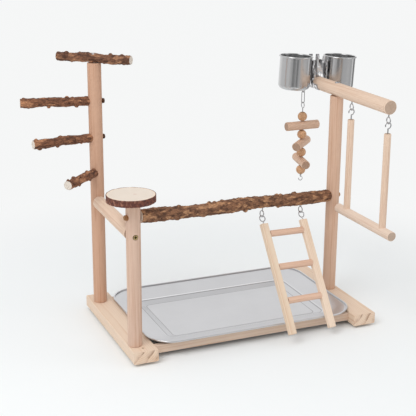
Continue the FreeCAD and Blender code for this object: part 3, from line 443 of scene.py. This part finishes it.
def creased_steel(name, base, box):
    """Satin sheet with a painted highlight and painted lines of shade along its pressed creases, and
    painted shade on its front-facing step.
    """
    finish = Finish(name, base, 0.27, 1.0)
    low, high = box
    centre = (low + high) / 2
    place = finish.add("ShaderNodeTexCoord", output=3)
    x, y = finish.parts(finish.shifted(place, -centre))[:2]
    half_width = (high.x - low.x) / 2
    half_depth = (high.y - low.y) / 2

    def outline(inset, corner):
        """Distance outside a rounded outline that lies inside the tray's edge."""
        across = abs(x) - (half_width - inset - corner)
        along = abs(y) - (half_depth - inset - corner)
        outside = (across.most(0.0) ** 2.0 + along.most(0.0) ** 2.0).root()
        return outside + across.most(along).least(0.0) - corner

    border = outline(*BORDER_CREASE)
    well = outline(*WELL_CREASE)
    # Painted highlight: a near-white line just outside the border crease.
    painted_reflection = 1 - abs(border - 0.0006).step(0.0006, 0.0018)
    # Painted shade: dark lines just inside the border crease and along the well's crease.
    dark = (1 - abs(border + 0.0018).step(0.0005, 0.0014)).most(1 - abs(well).step(0.0004, 0.0012))
    # The painted highlight is made weaker along the left and right borders.
    beside = abs(x).step(half_width - 0.062, half_width - 0.052)
    painted_reflection = painted_reflection * (1 - beside * 0.72)
    # Painted shade: the step between the creases is darkened where it faces the front.
    step_band = (1 - border.step(-0.0010, 0.0)) * well.step(0.0, 0.0010)
    slope = finish.parts(finish.add("ShaderNodeTexCoord", output=1))[1]
    painted_front_shade = (0 - slope).step(0.08, 0.22)
    lines = finish.noise(finish.stretched(place, (40, 1500, 60)), 1.0, 3.0, 0.6)
    clouds = finish.noise(place, 22.0, 3.0)
    steel = finish.blend(lines * 0.45 + (clouds - 0.45) * 0.5, tuple(base),
                         tinted(base, (0.88, 0.88, 0.88)))
    # Painted shade on the front-facing step and in the creases, then the painted highlight, laid over
    # the steel's own lines and clouds.
    steel = finish.blend(step_band * painted_front_shade * 0.30, steel, tinted(base, (0.66, 0.66, 0.67)))
    steel = finish.blend(dark * 0.66, steel, tinted(base, (0.42, 0.41, 0.42)))
    steel = finish.blend(painted_reflection * 0.85, steel, (0.99, 0.99, 1.0))
    finish.give("Base Color", steel)
    finish.give("Roughness", 0.33 + (lines - 0.5) * 0.08 + (clouds - 0.5) * 0.06)
    finish.bump(lines * 0.3 + painted_reflection * 1.0 - dark * 0.8, 0.00012)
    return finish


# ---------------------------------------------------------------- modelling helpers
def fresh():
    """Leaves edit mode and deselects everything, so that the next operator acts alone."""
    if bpy.context.object and bpy.context.object.mode != "OBJECT":
        bpy.ops.object.mode_set(mode="OBJECT")
    bpy.ops.object.select_all(action="DESELECT")


def choose(*pieces):
    """Selects these pieces alone; the first one is active."""
    fresh()
    for piece in pieces:
        piece.select_set(True)
    bpy.context.view_layer.objects.active = pieces[0]


def shape_by(piece, kind, **settings):
    """Adds a modifier and applies it."""
    choose(piece)
    change = piece.modifiers.new(kind.title(), kind)
    for key, value in settings.items():
        setattr(change, key, value)
    bpy.ops.object.modifier_apply(modifier=change.name)


def relief(piece, size, depth, group):
    """Displaces the part of a piece's skin that a group holds by procedural clouds."""
    pattern = bpy.data.textures.new(piece.name + "_relief", "CLOUDS")
    pattern.noise_scale = size
    shape_by(piece, "DISPLACE", texture=pattern, texture_coords="LOCAL", strength=depth,
             mid_level=0.55, vertex_group=group)
    bpy.data.textures.remove(pattern)


def carve(piece, cutter):
    """Cuts one piece by another, and removes the cutter."""
    shape_by(piece, "BOOLEAN", operation="DIFFERENCE", solver="EXACT", object=cutter)
    bpy.data.objects.remove(cutter)


def outward(piece):
    """Merges doubles and turns all faces outwards."""
    choose(piece)
    bpy.ops.object.mode_set(mode="EDIT")
    bpy.ops.mesh.select_all(action="SELECT")
    bpy.ops.mesh.remove_doubles(threshold=1e-6)
    bpy.ops.mesh.normals_make_consistent(inside=False)
    bpy.ops.object.mode_set(mode="OBJECT")


def settle(piece, name, nodes, smooth=40.0):
    """Puts a finished piece's place into its mesh and lets it stand for its CAD nodes."""
    choose(piece)
    bpy.ops.object.transform_apply(location=True, rotation=True, scale=True)
    bpy.ops.object.shade_smooth_by_angle(angle=math.radians(smooth))
    piece.name = name
    piece.data.name = name
    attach(piece, "stand")
    if nodes:
        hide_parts(*nodes)
    fresh()


def choose_faces(piece, test):
    """Selects the faces of a piece in edit mode by a test on each."""
    bpy.ops.mesh.select_all(action="DESELECT")
    bpy.ops.object.mode_set(mode="OBJECT")
    for face in piece.data.polygons:
        face.select = test(face)
    bpy.ops.object.mode_set(mode="EDIT")


# ---------------------------------------------------------------- bark branches
BRIDGE = (Vector((-0.19884, -0.09575, 0.25830)), Vector((0.24416, 0.01375, 0.21780)))
TOP_PERCH = (Vector((-0.24612, 0.16442, 0.49135)), Vector((-0.14356, 0.07208, 0.49135)))
PERCH_ROOTS = (0.41430, 0.34750, 0.28220)
PERCH_TIPS = (
    Vector((-0.32574, 0.14346, 0.41430)),
    Vector((-0.31563, 0.10041, 0.34750)),
    Vector((-0.26965, 0.04701, 0.28220)),
)
TALL_POST = Vector((-0.19484, 0.11825, 0.0))
POST_WIDTH = 0.0250
POST_SADDLE = 0.0006
TOP_PERCH_PAST = 0.0030
RING_LENGTH = 0.011
SMOOTH_END = 0.0040


def trunk(start, end, thickness, phase, rings):
    """A sawn log, extruded ring by ring along a line that sways a little."""
    way = (end - start).normalized()
    side = way.cross(UP).normalized()
    lift = side.cross(way)
    fresh()
    bpy.ops.mesh.primitive_circle_add(vertices=20, radius=thickness / 2, fill_type="NGON",
                                      location=start, rotation=way.to_track_quat("Z", "Y").to_euler())
    log = bpy.context.object
    bpy.ops.object.mode_set(mode="EDIT")
    bpy.ops.mesh.select_all(action="SELECT")
    reach = (end - start).length
    before_centre = start
    before_width = 1.0
    for number in range(1, rings + 1):
        share = number / rings
        calm = math.sin(math.pi * share)
        sway = side * (0.07 * thickness * calm * math.sin(2.3 * math.pi * share + phase))
        nod = lift * (0.07 * thickness * calm * math.cos(3.1 * math.pi * share + phase))
        centre = start + way * (reach * share) + sway + nod
        width = 1 + 0.06 * math.sin(5.1 * share * math.pi + phase)
        bpy.ops.mesh.extrude_region_move(TRANSFORM_OT_translate={"value": centre - before_centre})
        grow = width / before_width
        bpy.ops.transform.resize(value=(grow, grow, grow), center_override=centre)
        before_centre = centre
        before_width = width
    bpy.ops.object.mode_set(mode="OBJECT")
    return log


def knob(start, end, thickness, share, angle, size, tall):
    """One knob of the bark: a ball that stands out of the log by a share of its radius."""
    way = (end - start).normalized()
    side = way.cross(UP).normalized()
    lift = side.cross(way)
    out = side * math.cos(angle) + lift * math.sin(angle)
    radius = thickness * size
    centre = start + (end - start) * share + out * (thickness / 2 - radius * (1 - tall))
    bpy.ops.mesh.primitive_uv_sphere_add(segments=14, ring_count=8, radius=radius, location=centre,
                                         rotation=out.to_track_quat("Z", "Y").to_euler())
    ball = bpy.context.object
    ball.scale = (1.15, 0.95, 0.9)
    return ball


def bark_branch(start, end, thickness, phase, knots, knobs, seed, stand_out):
    """Models one branch with its knots, knobs and rough bark."""
    sizes = bpy.context.scene.stand_sizes
    chance = random.Random(seed)
    reach = (end - start).length
    log = trunk(start, end, thickness * 0.94, phase, max(8, int(reach / RING_LENGTH)))
    balls = []
    for share, angle, size in knots:
        balls.append(knob(start, end, thickness, share, math.radians(angle), size, 0.55))
    for number in range(knobs):
        share = min(max((number + 0.5 + chance.uniform(-0.4, 0.4)) / knobs, 0.05), 0.95)
        angle = number * 2.4 + chance.uniform(-0.6, 0.6)
        balls.append(knob(start, end, thickness * 0.96, share, angle,
                          chance.uniform(0.15, 0.24), chance.uniform(*stand_out)))
    choose(log, *balls)
    bpy.ops.object.join()
    choose(log)
    bpy.ops.object.transform_apply(location=True, rotation=True, scale=True)
    shape_by(log, "REMESH", mode="VOXEL", voxel_size=sizes.bark_voxel)
    shape_by(log, "SMOOTH", factor=0.5, iterations=2)
    way = (end - start).normalized()
    rough = log.vertex_groups.new(name="bark")
    rows = {}
    for vertex in log.data.vertices:
        at = (vertex.co - start).dot(way)
        weight = min(1.0, max(0.0, min(at, reach - at) / SMOOTH_END))
        rows.setdefault(round(weight, 1), []).append(vertex.index)
    for weight, members in rows.items():
        rough.add(members, weight, "REPLACE")
    relief(log, 0.0090, sizes.bark_lumps * thickness / sizes.bridge_thickness, "bark")
    relief(log, 0.0042, sizes.bark_ridges, "bark")
    log.vertex_groups.clear()
    return log


def post_hole(post, height):
    """A cutter a hair wider than a post, for the hollowed end of a branch."""
    fresh()
    bpy.ops.mesh.primitive_cylinder_add(vertices=96, radius=POST_WIDTH / 2 + 0.00005, depth=0.12,
                                        location=(post.x, post.y, height))
    return bpy.context.object


class PLAYSTAND_OT_bridge_branch(bpy.types.Operator):
    """Models the long branch between the front post and the right post"""
    bl_idname = "playstand.bridge_branch"
    bl_label = "Bridge branch"

    def execute(self, context):
        start, end = BRIDGE
        inward = (end - start).normalized() * (POST_WIDTH / 2 - POST_SADDLE)
        first = start + inward
        last = end - inward
        knots = ((0.17, 250, 0.20), (0.36, 80, 0.17), (0.52, 300, 0.19), (0.70, 95, 0.18),
                 (0.87, 240, 0.17))
        thickness = context.scene.stand_sizes.bridge_thickness
        log = bark_branch(first, last, thickness, 0.6, knots, 34, 7, (0.42, 0.70))
        for root in (start, end):
            carve(log, post_hole(root, root.z))
        settle(log, "bridge_branch_bark", ["bridge_branch"], 60)
        bark("bark_of_bridge", first, last, context.scene.stand_colours, 0.37).dress(log)
        return {"FINISHED"}


class PLAYSTAND_OT_perches(bpy.types.Operator):
    """Models the perch across the tall post and the three side perches"""
    bl_idname = "playstand.perches"
    bl_label = "Bark perches"

    def execute(self, context):
        thickness = context.scene.stand_sizes.perch_thickness
        colours = context.scene.stand_colours
        start, end = TOP_PERCH
        past = (end - start).normalized() * TOP_PERCH_PAST
        start = start - past
        end = end + past
        knots = ((0.14, 70, 0.21), (0.30, 110, 0.19), (0.55, 60, 0.22), (0.72, 100, 0.19),
                 (0.88, 80, 0.19))
        log = bark_branch(start, end, thickness, 2.0, knots, 12, 3, (0.32, 0.50))
        settle(log, "top_perch_bark", ["top_perch"], 60)
        bark("bark_of_top_perch", start, end, colours, 0.11, (0.84, 0.80, 0.84)).dress(log)
        for number, name in enumerate(("upper_side_perch", "middle_side_perch", "lower_side_perch")):
            root = Vector((TALL_POST.x, TALL_POST.y, PERCH_ROOTS[number]))
            tip = PERCH_TIPS[number]
            way = (tip - root).normalized()
            inner = root + way * (POST_WIDTH / 4)
            knots = ((0.34 + 0.1 * number, 70 + 60 * number, 0.20), (0.68, 200 - 40 * number, 0.17))
            log = bark_branch(inner, tip, thickness, 1.3 * number, knots, 12, 20 + number, (0.60, 0.95))
            carve(log, post_hole(root, root.z))
            settle(log, name + "_bark", [name], 60)
            bark("bark_of_" + name, inner, tip, colours, 0.53 + 0.2 * number,
                 (0.95, 0.86, 0.86)).dress(log)
        return {"FINISHED"}


class PLAYSTAND_OT_platform(bpy.types.Operator):
    """Models the log slice on the front post, with its rough rim of bark"""
    bl_idname = "playstand.platform"
    bl_label = "Log platform"

    def execute(self, context):
        sizes = context.scene.stand_sizes
        low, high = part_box("platform")
        centre = (low + high) / 2
        radius = (high.x - low.x) / 2
        fresh()
        bpy.ops.mesh.primitive_cylinder_add(vertices=160, radius=radius - 0.0005,
                                            depth=high.z - low.z + 0.0004, end_fill_type="NGON",
                                            location=centre + UP * 0.0002)
        slab = bpy.context.object
        bpy.ops.object.mode_set(mode="EDIT")
        choose_faces(slab, lambda face: abs(face.normal.z) > 0.9)
        bpy.ops.mesh.inset(thickness=0.0012, depth=0.0)
        for inset in (0.0016, 0.009, 0.012):
            bpy.ops.mesh.inset(thickness=inset, depth=0.0)
        choose_faces(slab, lambda face: abs(face.normal.z) < 0.5)
        bpy.ops.mesh.subdivide(number_cuts=5)
        bpy.ops.object.mode_set(mode="OBJECT")
        rim = slab.vertex_groups.new(name="rim")
        for vertex in slab.data.vertices:
            if Vector(vertex.co[:2]).length > radius - 0.001:
                rim.add([vertex.index], 1.0, "REPLACE")
        relief(slab, 0.0060, 0.0010, "rim")
        relief(slab, 0.0018, 0.0006, "rim")
        slab.vertex_groups.clear()
        outward(slab)
        settle(slab, "platform_slice", ["platform"], 50)
        colours = context.scene.stand_colours
        log_slice("log_slice", centre, radius, sizes.platform_bark, colours).dress(slab)
        return {"FINISHED"}


# ---------------------------------------------------------------- screws
CROSS_ENDS = (Vector((-0.19481, 0.11825, 0.226)), Vector((-0.19881, -0.09575, 0.226)))
HEAD_WIDTH = 0.0090
HEAD_HEIGHT = 0.0026
SHANK_WIDTH = 0.0045
SHANK_LENGTH = 0.036


def cross_screw(recess):
    """A pan head with a cross recess and a pointed shank that runs up from the origin."""
    fresh()
    bpy.ops.mesh.primitive_cylinder_add(vertices=40, radius=HEAD_WIDTH / 2, depth=HEAD_HEIGHT,
                                        location=(0, 0, -HEAD_HEIGHT / 2))
    head = bpy.context.object
    bpy.ops.object.mode_set(mode="EDIT")
    choose_faces(head, lambda face: face.normal.z < -0.9)
    bpy.ops.mesh.bevel(offset=HEAD_HEIGHT * 0.55, segments=5, affect="EDGES")
    bpy.ops.object.mode_set(mode="OBJECT")
    cutters = []
    for turn in (0, 1):
        bpy.ops.mesh.primitive_cube_add(size=1, location=(0, 0, -HEAD_HEIGHT))
        bar = bpy.context.object
        bar.scale = (recess, recess * 0.30, HEAD_HEIGHT * 1.1)
        bar.rotation_euler = (0, 0, turn * math.pi / 2)
        cutters.append(bar)
    for bar in cutters:
        carve(head, bar)
    point_length = SHANK_WIDTH * 1.2
    bpy.ops.mesh.primitive_cone_add(vertices=24, radius1=SHANK_WIDTH / 2, radius2=0.0003,
                                    depth=point_length,
                                    location=(0, 0, SHANK_LENGTH - point_length / 2))
    tip = bpy.context.object
    straight = SHANK_LENGTH - point_length
    bpy.ops.mesh.primitive_cylinder_add(vertices=24, radius=SHANK_WIDTH / 2, depth=straight,
                                        location=(0, 0, straight / 2))
    shank = bpy.context.object
    choose(head, tip, shank)
    bpy.ops.object.join()
    choose(head)
    bpy.ops.object.transform_apply(location=True, rotation=True, scale=True)
    return head


def placed_copy(model, seat, way):
    """A copy of a screw, with its own mesh, seated at a point with its shank along way."""
    copy = model.copy()
    copy.data = model.data.copy()
    bpy.context.collection.objects.link(copy)
    turn = Vector(way).to_track_quat("Z", "Y").to_matrix().to_4x4()
    copy.matrix_world = Matrix.Translation(seat) @ turn
    return copy


def upright_seat(node):
    """Where the head of an upright screw meets the wood."""
    low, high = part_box(node)
    return Vector(((low.x + high.x) / 2, (low.y + high.y) / 2, high.z - HEAD_HEIGHT))


class PLAYSTAND_OT_screws(bpy.types.Operator):
    """Models one cross-head screw and copies it to each place where a head shows"""
    bl_idname = "playstand.screws"
    bl_label = "Screws"

    def execute(self, context):
        c = context.scene.stand_colours
        brass = brushed_metal("brass_plate", c.brass, 0.34, (700, 700, 700), 0.10)
        y = brass.parts(brass.add("ShaderNodeTexCoord", output=3))[1]
        middle = (CROSS_ENDS[0].y + CROSS_ENDS[1].y) / 2
        face = (CROSS_ENDS[0].y - CROSS_ENDS[1].y + POST_WIDTH) / 2
        # Painted shade: all of the brass screws except the outermost half millimetre of the heads is
        # painted nearly black, most visibly the cross recesses and the heads' rounded rims.
        painted_recess_shade = 1 - abs(y - middle).step(face - 0.0005, face - 0.0002)
        brass.give("Base Color", brass.blend(painted_recess_shade, tuple(c.brass), (0.030, 0.018, 0.008)))
        zinc = brushed_metal("zinc_head", c.zinc, 0.26, (900, 900, 300), 0.10)
        rear, front = CROSS_ENDS
        inward = (front - rear).normalized()
        sink = inward * (POST_WIDTH / 2 - HEAD_HEIGHT)
        jobs = (
            ("cross_dowel_screws", brass, ((rear - sink, inward), (front + sink, -inward))),
            ("top_bar_screw", zinc, ((upright_seat("top_bar_screw"), -UP),)),
            ("top_perch_screw", zinc, ((upright_seat("top_perch_screw"), -UP),)),
        )
        model = cross_screw(context.scene.stand_sizes.recess_width)
        for name, finish, places in jobs:
            copies = [placed_copy(model, seat, way) for seat, way in places]
            choose(*copies)
            if len(copies) > 1:
                bpy.ops.object.join()
            settle(copies[0], name + "_cross", [name])
            finish.dress(copies[0])
        bpy.data.objects.remove(model)
        return {"FINISHED"}


LADDER_DOWN = (0.02692, -0.55404, -0.83205)
LADDER_ACROSS = (0.98684, 0.14748, -0.06627)
CROSS_WAY = CROSS_ENDS[1] - CROSS_ENDS[0]
PLAIN = (1.0, 1.0, 1.0)
# Painted shade: the rails' pine is tinted darker than the feet's, standing in for the shade of the tray
# over them.
RAIL_TINT_PAINTED_SHADE = (0.84, 0.80, 0.86)
FOOT_TINT = (0.95, 0.92, 0.97)
FOOT_KNOT = ((-0.1909, -0.1135, 0.0265), 0.0018)

# Each piece's grain direction and its tint of the wood's colours; the pines' knots as well.
DOWELS = {
    "tall_post": (UP, (0.78, 0.62, 0.54)),
    "front_post": (UP, (0.85, 0.79, 0.79)),
    "right_post": (UP, (0.86, 0.76, 0.71)),
    "cross_dowel": (CROSS_WAY, PLAIN),
    "top_bar": (BACK, PLAIN),
    "swing_front_rod": (UP, PLAIN),
    "swing_rear_rod": (UP, PLAIN),
    "swing_perch": (BACK, (1.02, 1.07, 1.12)),
    "ladder_rungs": (LADDER_ACROSS, (0.95, 0.84, 0.80)),
}
TOY_BEADS = ("toy_bead_1", "toy_bead_2", "toy_bead_3", "toy_bead_4")
TOY_STICKS = {"toy_stick_1": 1.0, "toy_stick_2": 45.0, "toy_stick_3": 78.0}
PINES = {
    "left_foot": (BACK, FOOT_TINT, (FOOT_KNOT,)),
    "right_foot": (BACK, FOOT_TINT, ()),
    "front_rail": (RIGHT, RAIL_TINT_PAINTED_SHADE, ()),
    "rear_rail": (RIGHT, RAIL_TINT_PAINTED_SHADE, ()),
    "rail_pins": (RIGHT, RAIL_TINT_PAINTED_SHADE, ()),
    "ladder_left_rail": (LADDER_DOWN, (0.93, 0.91, 0.94), ()),
    "ladder_right_rail": (LADDER_DOWN, (1.0, 0.99, 1.06), ()),
}
ZINC_NODES = ("swing_eyes", "swing_hooks", "branch_eyes", "ladder_eyes", "toy_eye", "toy_link",
              "toy_wire", "toy_hook", "cup_bracket_screws", "platform_screw", "post_screws")


def wood_jobs(c):
    """Node, grain, light and dark wood, tint, seed and ring strength of each dowel and toy."""
    dowel = (c.dowel_light, c.dowel_dark)
    toy = (c.toy_light, c.toy_dark)
    jobs = []
    for number, (node, (way, tint)) in enumerate(DOWELS.items()):
        jobs.append((node, way, dowel, tint, 0.37 + 0.61 * number, 0.55))
    for number, node in enumerate(TOY_BEADS):
        jobs.append((node, UP, toy, (0.95, 0.82, 0.72), 0.19 + 0.43 * number, 0.7))
    for number, (node, azimuth) in enumerate(TOY_STICKS.items(), len(TOY_BEADS)):
        turn = math.radians(azimuth)
        way = Vector((math.cos(turn), math.sin(turn), 0))
        jobs.append((node, way, dowel, (0.86, 0.78, 0.73), 0.19 + 0.43 * number, 0.7))
    return jobs


class PLAYSTAND_OT_finishes(bpy.types.Operator):
    """Gives every part that keeps its CAD shape its wood, metal or rubber"""
    bl_idname = "playstand.finishes"
    bl_label = "Finishes of the carried-over parts"

    def execute(self, context):
        sizes = context.scene.stand_sizes
        c = context.scene.stand_colours
        for node, way, woods, tint, seed, strength in wood_jobs(c):
            low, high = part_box(node)
            light, dark = (tinted(wood, tint) for wood in woods)
            sanded_wood("wood_of_" + node, (low + high) / 2, way, light, dark,
                        sizes.ring_spacing, seed, strength).dress(NODES[node])
        for number, (node, (way, tint, knots)) in enumerate(PINES.items()):
            low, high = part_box(node)
            knotty_pine("pine_of_" + node, (low + high) / 2, way, tinted(c.pine_light, tint),
                        tinted(c.pine_dark, tint), sizes.pine_spacing, 0.23 + 0.77 * number,
                        knots).dress(NODES[node])
        creased_steel("satin_steel", c.tray_steel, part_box("tray")).dress(NODES["tray"])
        polished = brushed_metal("polished_steel", c.cup_steel, 0.20, (900, 900, 12), 0.04)
        polished.shader.inputs["Anisotropic"].default_value = 0.85
        polished.shader.inputs["Anisotropic Rotation"].default_value = 0.25
        # The bent sheet mirrors the room in light and dark strips, and these reflections are painted
        # into its base colour.
        painted_reflection = brushed_metal("bracket_steel", tinted(c.cup_steel, (0.62, 0.61, 0.61)), 0.06,
                               (75, 75, 60), 0.03, 0.0060)
        place = painted_reflection.add("ShaderNodeTexCoord", output=3)
        # Painted reflections: near-black and near-white patches take the place of the steel's own
        # colour.
        painted_glints = painted_reflection.noise(painted_reflection.stretched(place, (1, 1, 0.16)), 150.0, 1.0).step(0.40, 0.60)
        painted_reflection.give("Base Color", painted_reflection.blend(painted_glints, (0.12, 0.115, 0.12), (0.86, 0.85, 0.86)))
        zinc = brushed_metal("zinc_plate", c.zinc, 0.24, (900, 900, 300), 0.10)
        bronzed = brushed_metal("bronzed_plate", c.nut_brown, 0.50, (600, 600, 600), 0.12)
        browned = brushed_metal("browned_plate", tinted(c.nut_brown, (0.26, 0.24, 0.30)), 0.50,
                                (600, 600, 600), 0.12)
        rubber = Finish("matt_rubber", tuple(c.rubber), 0.85)
        place = rubber.add("ShaderNodeTexCoord", output=3)
        grain = rubber.noise(place, 900.0, 3.0, 0.6)
        rubber.give("Roughness", 0.78 + grain * 0.16)
        rubber.give("Base Color", rubber.blend(grain, tuple(c.rubber), (0.035, 0.035, 0.035)))
        rubber.bump(grain, 0.0001)
        for finish, nodes in (
                (polished, ("left_cup", "right_cup")),
                (painted_reflection, ("cup_bracket", "left_cup_hanger", "right_cup_hanger")),
                (zinc, ZINC_NODES),
                (bronzed, ("branch_nuts", "branch_bolts")),
                (browned, ("perch_nuts", "perch_bolts")),
                (rubber, ("rubber_pads",))):
            for node in nodes:
                finish.dress(NODES[node])
        return {"FINISHED"}


# ---------------------------------------------------------------- studio
FLOOR_RADIUS = 12.0
CUPS_PLACE = (0.24, 0.10)
AIR_STRENGTH = 0.72

# Compass position, from 0 to 1, and grey of each band of the room.
ROOM_BANDS = (
    (0.0, 0.52), (0.032, 0.22), (0.046, 0.22), (0.062, 0.50), (0.080, 0.30), (0.112, 0.20),
    (0.150, 0.46), (0.210, 0.66), (0.360, 0.72), (0.450, 0.92), (0.640, 0.92), (0.685, 0.28),
    (0.735, 0.24), (0.763, 1.0), (0.800, 0.48), (0.875, 0.55), (1.0, 0.52),
)


def room_bands(tree, across, ahead):
    """Grey of the room by compass direction, as polished metal sees it."""
    angle = tree.nodes.new("ShaderNodeMath")
    angle.operation = "ARCTAN2"
    tree.links.new(across, angle.inputs[0])
    tree.links.new(ahead, angle.inputs[1])
    turn = tree.nodes.new("ShaderNodeMapRange")
    turn.inputs["From Min"].default_value = -math.pi
    turn.inputs["From Max"].default_value = math.pi
    tree.links.new(angle.outputs[0], turn.inputs["Value"])
    bands = tree.nodes.new("ShaderNodeValToRGB")
    bands.color_ramp.interpolation = "EASE"
    while len(bands.color_ramp.elements) < len(ROOM_BANDS):
        bands.color_ramp.elements.new(0.5)
    for element, (at, grey) in zip(bands.color_ramp.elements, ROOM_BANDS):
        element.position = at
        element.color = (grey, grey, grey, 1.0)
    tree.links.new(turn.outputs[0], bands.inputs[0])
    return bands.outputs[0]


def soft_lamp(name, place, aim, width, power):
    """A square soft box that looks at a point."""
    fresh()
    bpy.ops.object.light_add(type="AREA", location=place)
    lamp = bpy.context.object
    lamp.name = name
    lamp.data.shape = "SQUARE"
    lamp.data.size = width
    lamp.data.energy = power
    lamp.rotation_euler = (Vector(aim) - Vector(place)).to_track_quat("-Z", "Y").to_euler()
    return lamp


def mixed(tree, share, low, high):
    """A shader between two others."""
    node = tree.nodes.new("ShaderNodeMixShader")
    for number, socket in enumerate((share, low, high)):
        tree.links.new(socket, node.inputs[number])
    return node.outputs[0]


def background(tree, tone, strength):
    """A plain background of one colour."""
    node = tree.nodes.new("ShaderNodeBackground")
    node.inputs["Color"].default_value = (*tone, 1.0)
    node.inputs["Strength"].default_value = strength
    return node


def studio_floor(c):
    """A round floor: paper that takes shadows near the stand, and plain light far from it."""
    fresh()
    bpy.ops.mesh.primitive_circle_add(vertices=96, radius=FLOOR_RADIUS, fill_type="NGON",
                                      location=(0, 0, 0))
    floor = bpy.context.object
    floor.name = "studio_floor"
    ground = Finish("studio_paper", tinted(c.floor, (0.985, 1.004, 1.012)), 0.9)
    ground.shader.inputs["Specular IOR Level"].default_value = 0.0
    tree = ground.tree
    x, y = ground.parts(ground.add("ShaderNodeTexCoord", output=3))[:2]
    away = (x * x + y * y).root().step(0.38, 0.90)
    path = tree.nodes.new("ShaderNodeLightPath")
    by_metal = Flow(ground, path.outputs["Is Glossy Ray"])
    seen = Flow(ground, path.outputs["Is Camera Ray"]).most(by_metal)
    bands = room_bands(tree, (x - CUPS_PLACE[0]).socket, (y - CUPS_PLACE[1]).socket)
    paper = tree.nodes.new("ShaderNodeEmission")
    ground.feed(paper.inputs["Color"], ground.blend(by_metal, tuple(c.floor), Flow(ground, bands)))
    output = next(node for node in tree.nodes if node.type == "OUTPUT_MATERIAL")
    surface = mixed(tree, (away * seen).socket, ground.shader.outputs[0], paper.outputs[0])
    tree.links.new(surface, output.inputs["Surface"])
    ground.dress(floor)


def studio_air(c):
    """The world: even light, the room's bands for polished metal, and paper for the camera."""
    world = bpy.data.worlds.new("studio_air")
    bpy.context.scene.world = world
    world.use_nodes = True
    tree = world.node_tree
    tree.nodes.clear()
    rays = tree.nodes.new("ShaderNodeLightPath")
    air = background(tree, (1.0, 1.0, 1.0), AIR_STRENGTH)
    back = background(tree, tuple(c.floor), 1.0)
    room = background(tree, (1.0, 1.0, 1.0), 1.0)
    look = tree.nodes.new("ShaderNodeTexCoord")
    split = tree.nodes.new("ShaderNodeSeparateXYZ")
    tree.links.new(look.outputs["Generated"], split.inputs[0])
    tree.links.new(room_bands(tree, split.outputs["X"], split.outputs["Y"]), room.inputs["Color"])
    lit = mixed(tree, rays.outputs["Is Glossy Ray"], air.outputs[0], room.outputs[0])
    seen = mixed(tree, rays.outputs["Is Camera Ray"], lit, back.outputs[0])
    shown = tree.nodes.new("ShaderNodeOutputWorld")
    tree.links.new(seen, shown.inputs["Surface"])


def photo_camera():
    """The camera that took the photograph."""
    fresh()
    bpy.ops.object.camera_add()
    camera = bpy.context.object
    camera.name = "photo_camera"
    camera.data.sensor_width = SENSOR_WIDTH
    camera.data.lens = CAMERA_LENS
    camera.data.clip_start = 0.01
    camera.data.clip_end = 50.0
    camera.matrix_world = (Matrix.Translation(CAMERA_PLACE)
                           @ Matrix.Rotation(-CAMERA_TURN, 4, "Z")
                           @ Matrix.Rotation(math.radians(90) - CAMERA_DOWN, 4, "X")
                           @ Matrix.Rotation(CAMERA_ROLL, 4, "Z"))
    bpy.context.scene.camera = camera


class PLAYSTAND_OT_stage(bpy.types.Operator):
    """Makes the pale floor, the soft lights, the world and the camera"""
    bl_idname = "playstand.stage"
    bl_label = "Studio and camera"

    def execute(self, context):
        studio_floor(context.scene.stand_colours)
        soft_lamp("key_box", (-1.5, -0.9, 2.1), (0, 0, 0.2), 1.5, 26.0)
        soft_lamp("fill_box", (1.9, -1.4, 1.4), (0, 0, 0.25), 1.6, 7.0)
        studio_air(context.scene.stand_colours)
        photo_camera()
        context.scene.view_settings.view_transform = "Standard"
        return {"FINISHED"}


# ---------------------------------------------------------------- panel and registration
OPERATORS = (
    PLAYSTAND_OT_finishes,
    PLAYSTAND_OT_bridge_branch,
    PLAYSTAND_OT_perches,
    PLAYSTAND_OT_platform,
    PLAYSTAND_OT_screws,
    PLAYSTAND_OT_stage,
)


class PLAYSTAND_PT_panel(bpy.types.Panel):
    """Lists the sizes, the colours and the steps of the stand"""
    bl_label = "Play Stand"
    bl_idname = "PLAYSTAND_PT_panel"
    bl_space_type = "VIEW_3D"
    bl_region_type = "UI"
    bl_category = "Play Stand"

    def draw(self, context):
        for group in (context.scene.stand_sizes, context.scene.stand_colours):
            box = self.layout.box()
            for key in group.__annotations__:
                box.prop(group, key)
        for step in OPERATORS:
            self.layout.operator(step.bl_idname)


CLASSES = (StandSizes, StandColours) + OPERATORS + (PLAYSTAND_PT_panel,)


def register():
    for item in CLASSES:
        bpy.utils.register_class(item)
    bpy.types.Scene.stand_sizes = bpy.props.PointerProperty(type=StandSizes)
    bpy.types.Scene.stand_colours = bpy.props.PointerProperty(type=StandColours)


def unregister():
    del bpy.types.Scene.stand_colours
    del bpy.types.Scene.stand_sizes
    for item in reversed(CLASSES):
        bpy.utils.unregister_class(item)


def main():
    """Registers the add-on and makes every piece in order."""
    register()
    bpy.ops.playstand.finishes()
    bpy.ops.playstand.bridge_branch()
    bpy.ops.playstand.perches()
    bpy.ops.playstand.platform()
    bpy.ops.playstand.screws()
    bpy.ops.playstand.stage()
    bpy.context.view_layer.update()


if __name__ == "__main__":
    main()
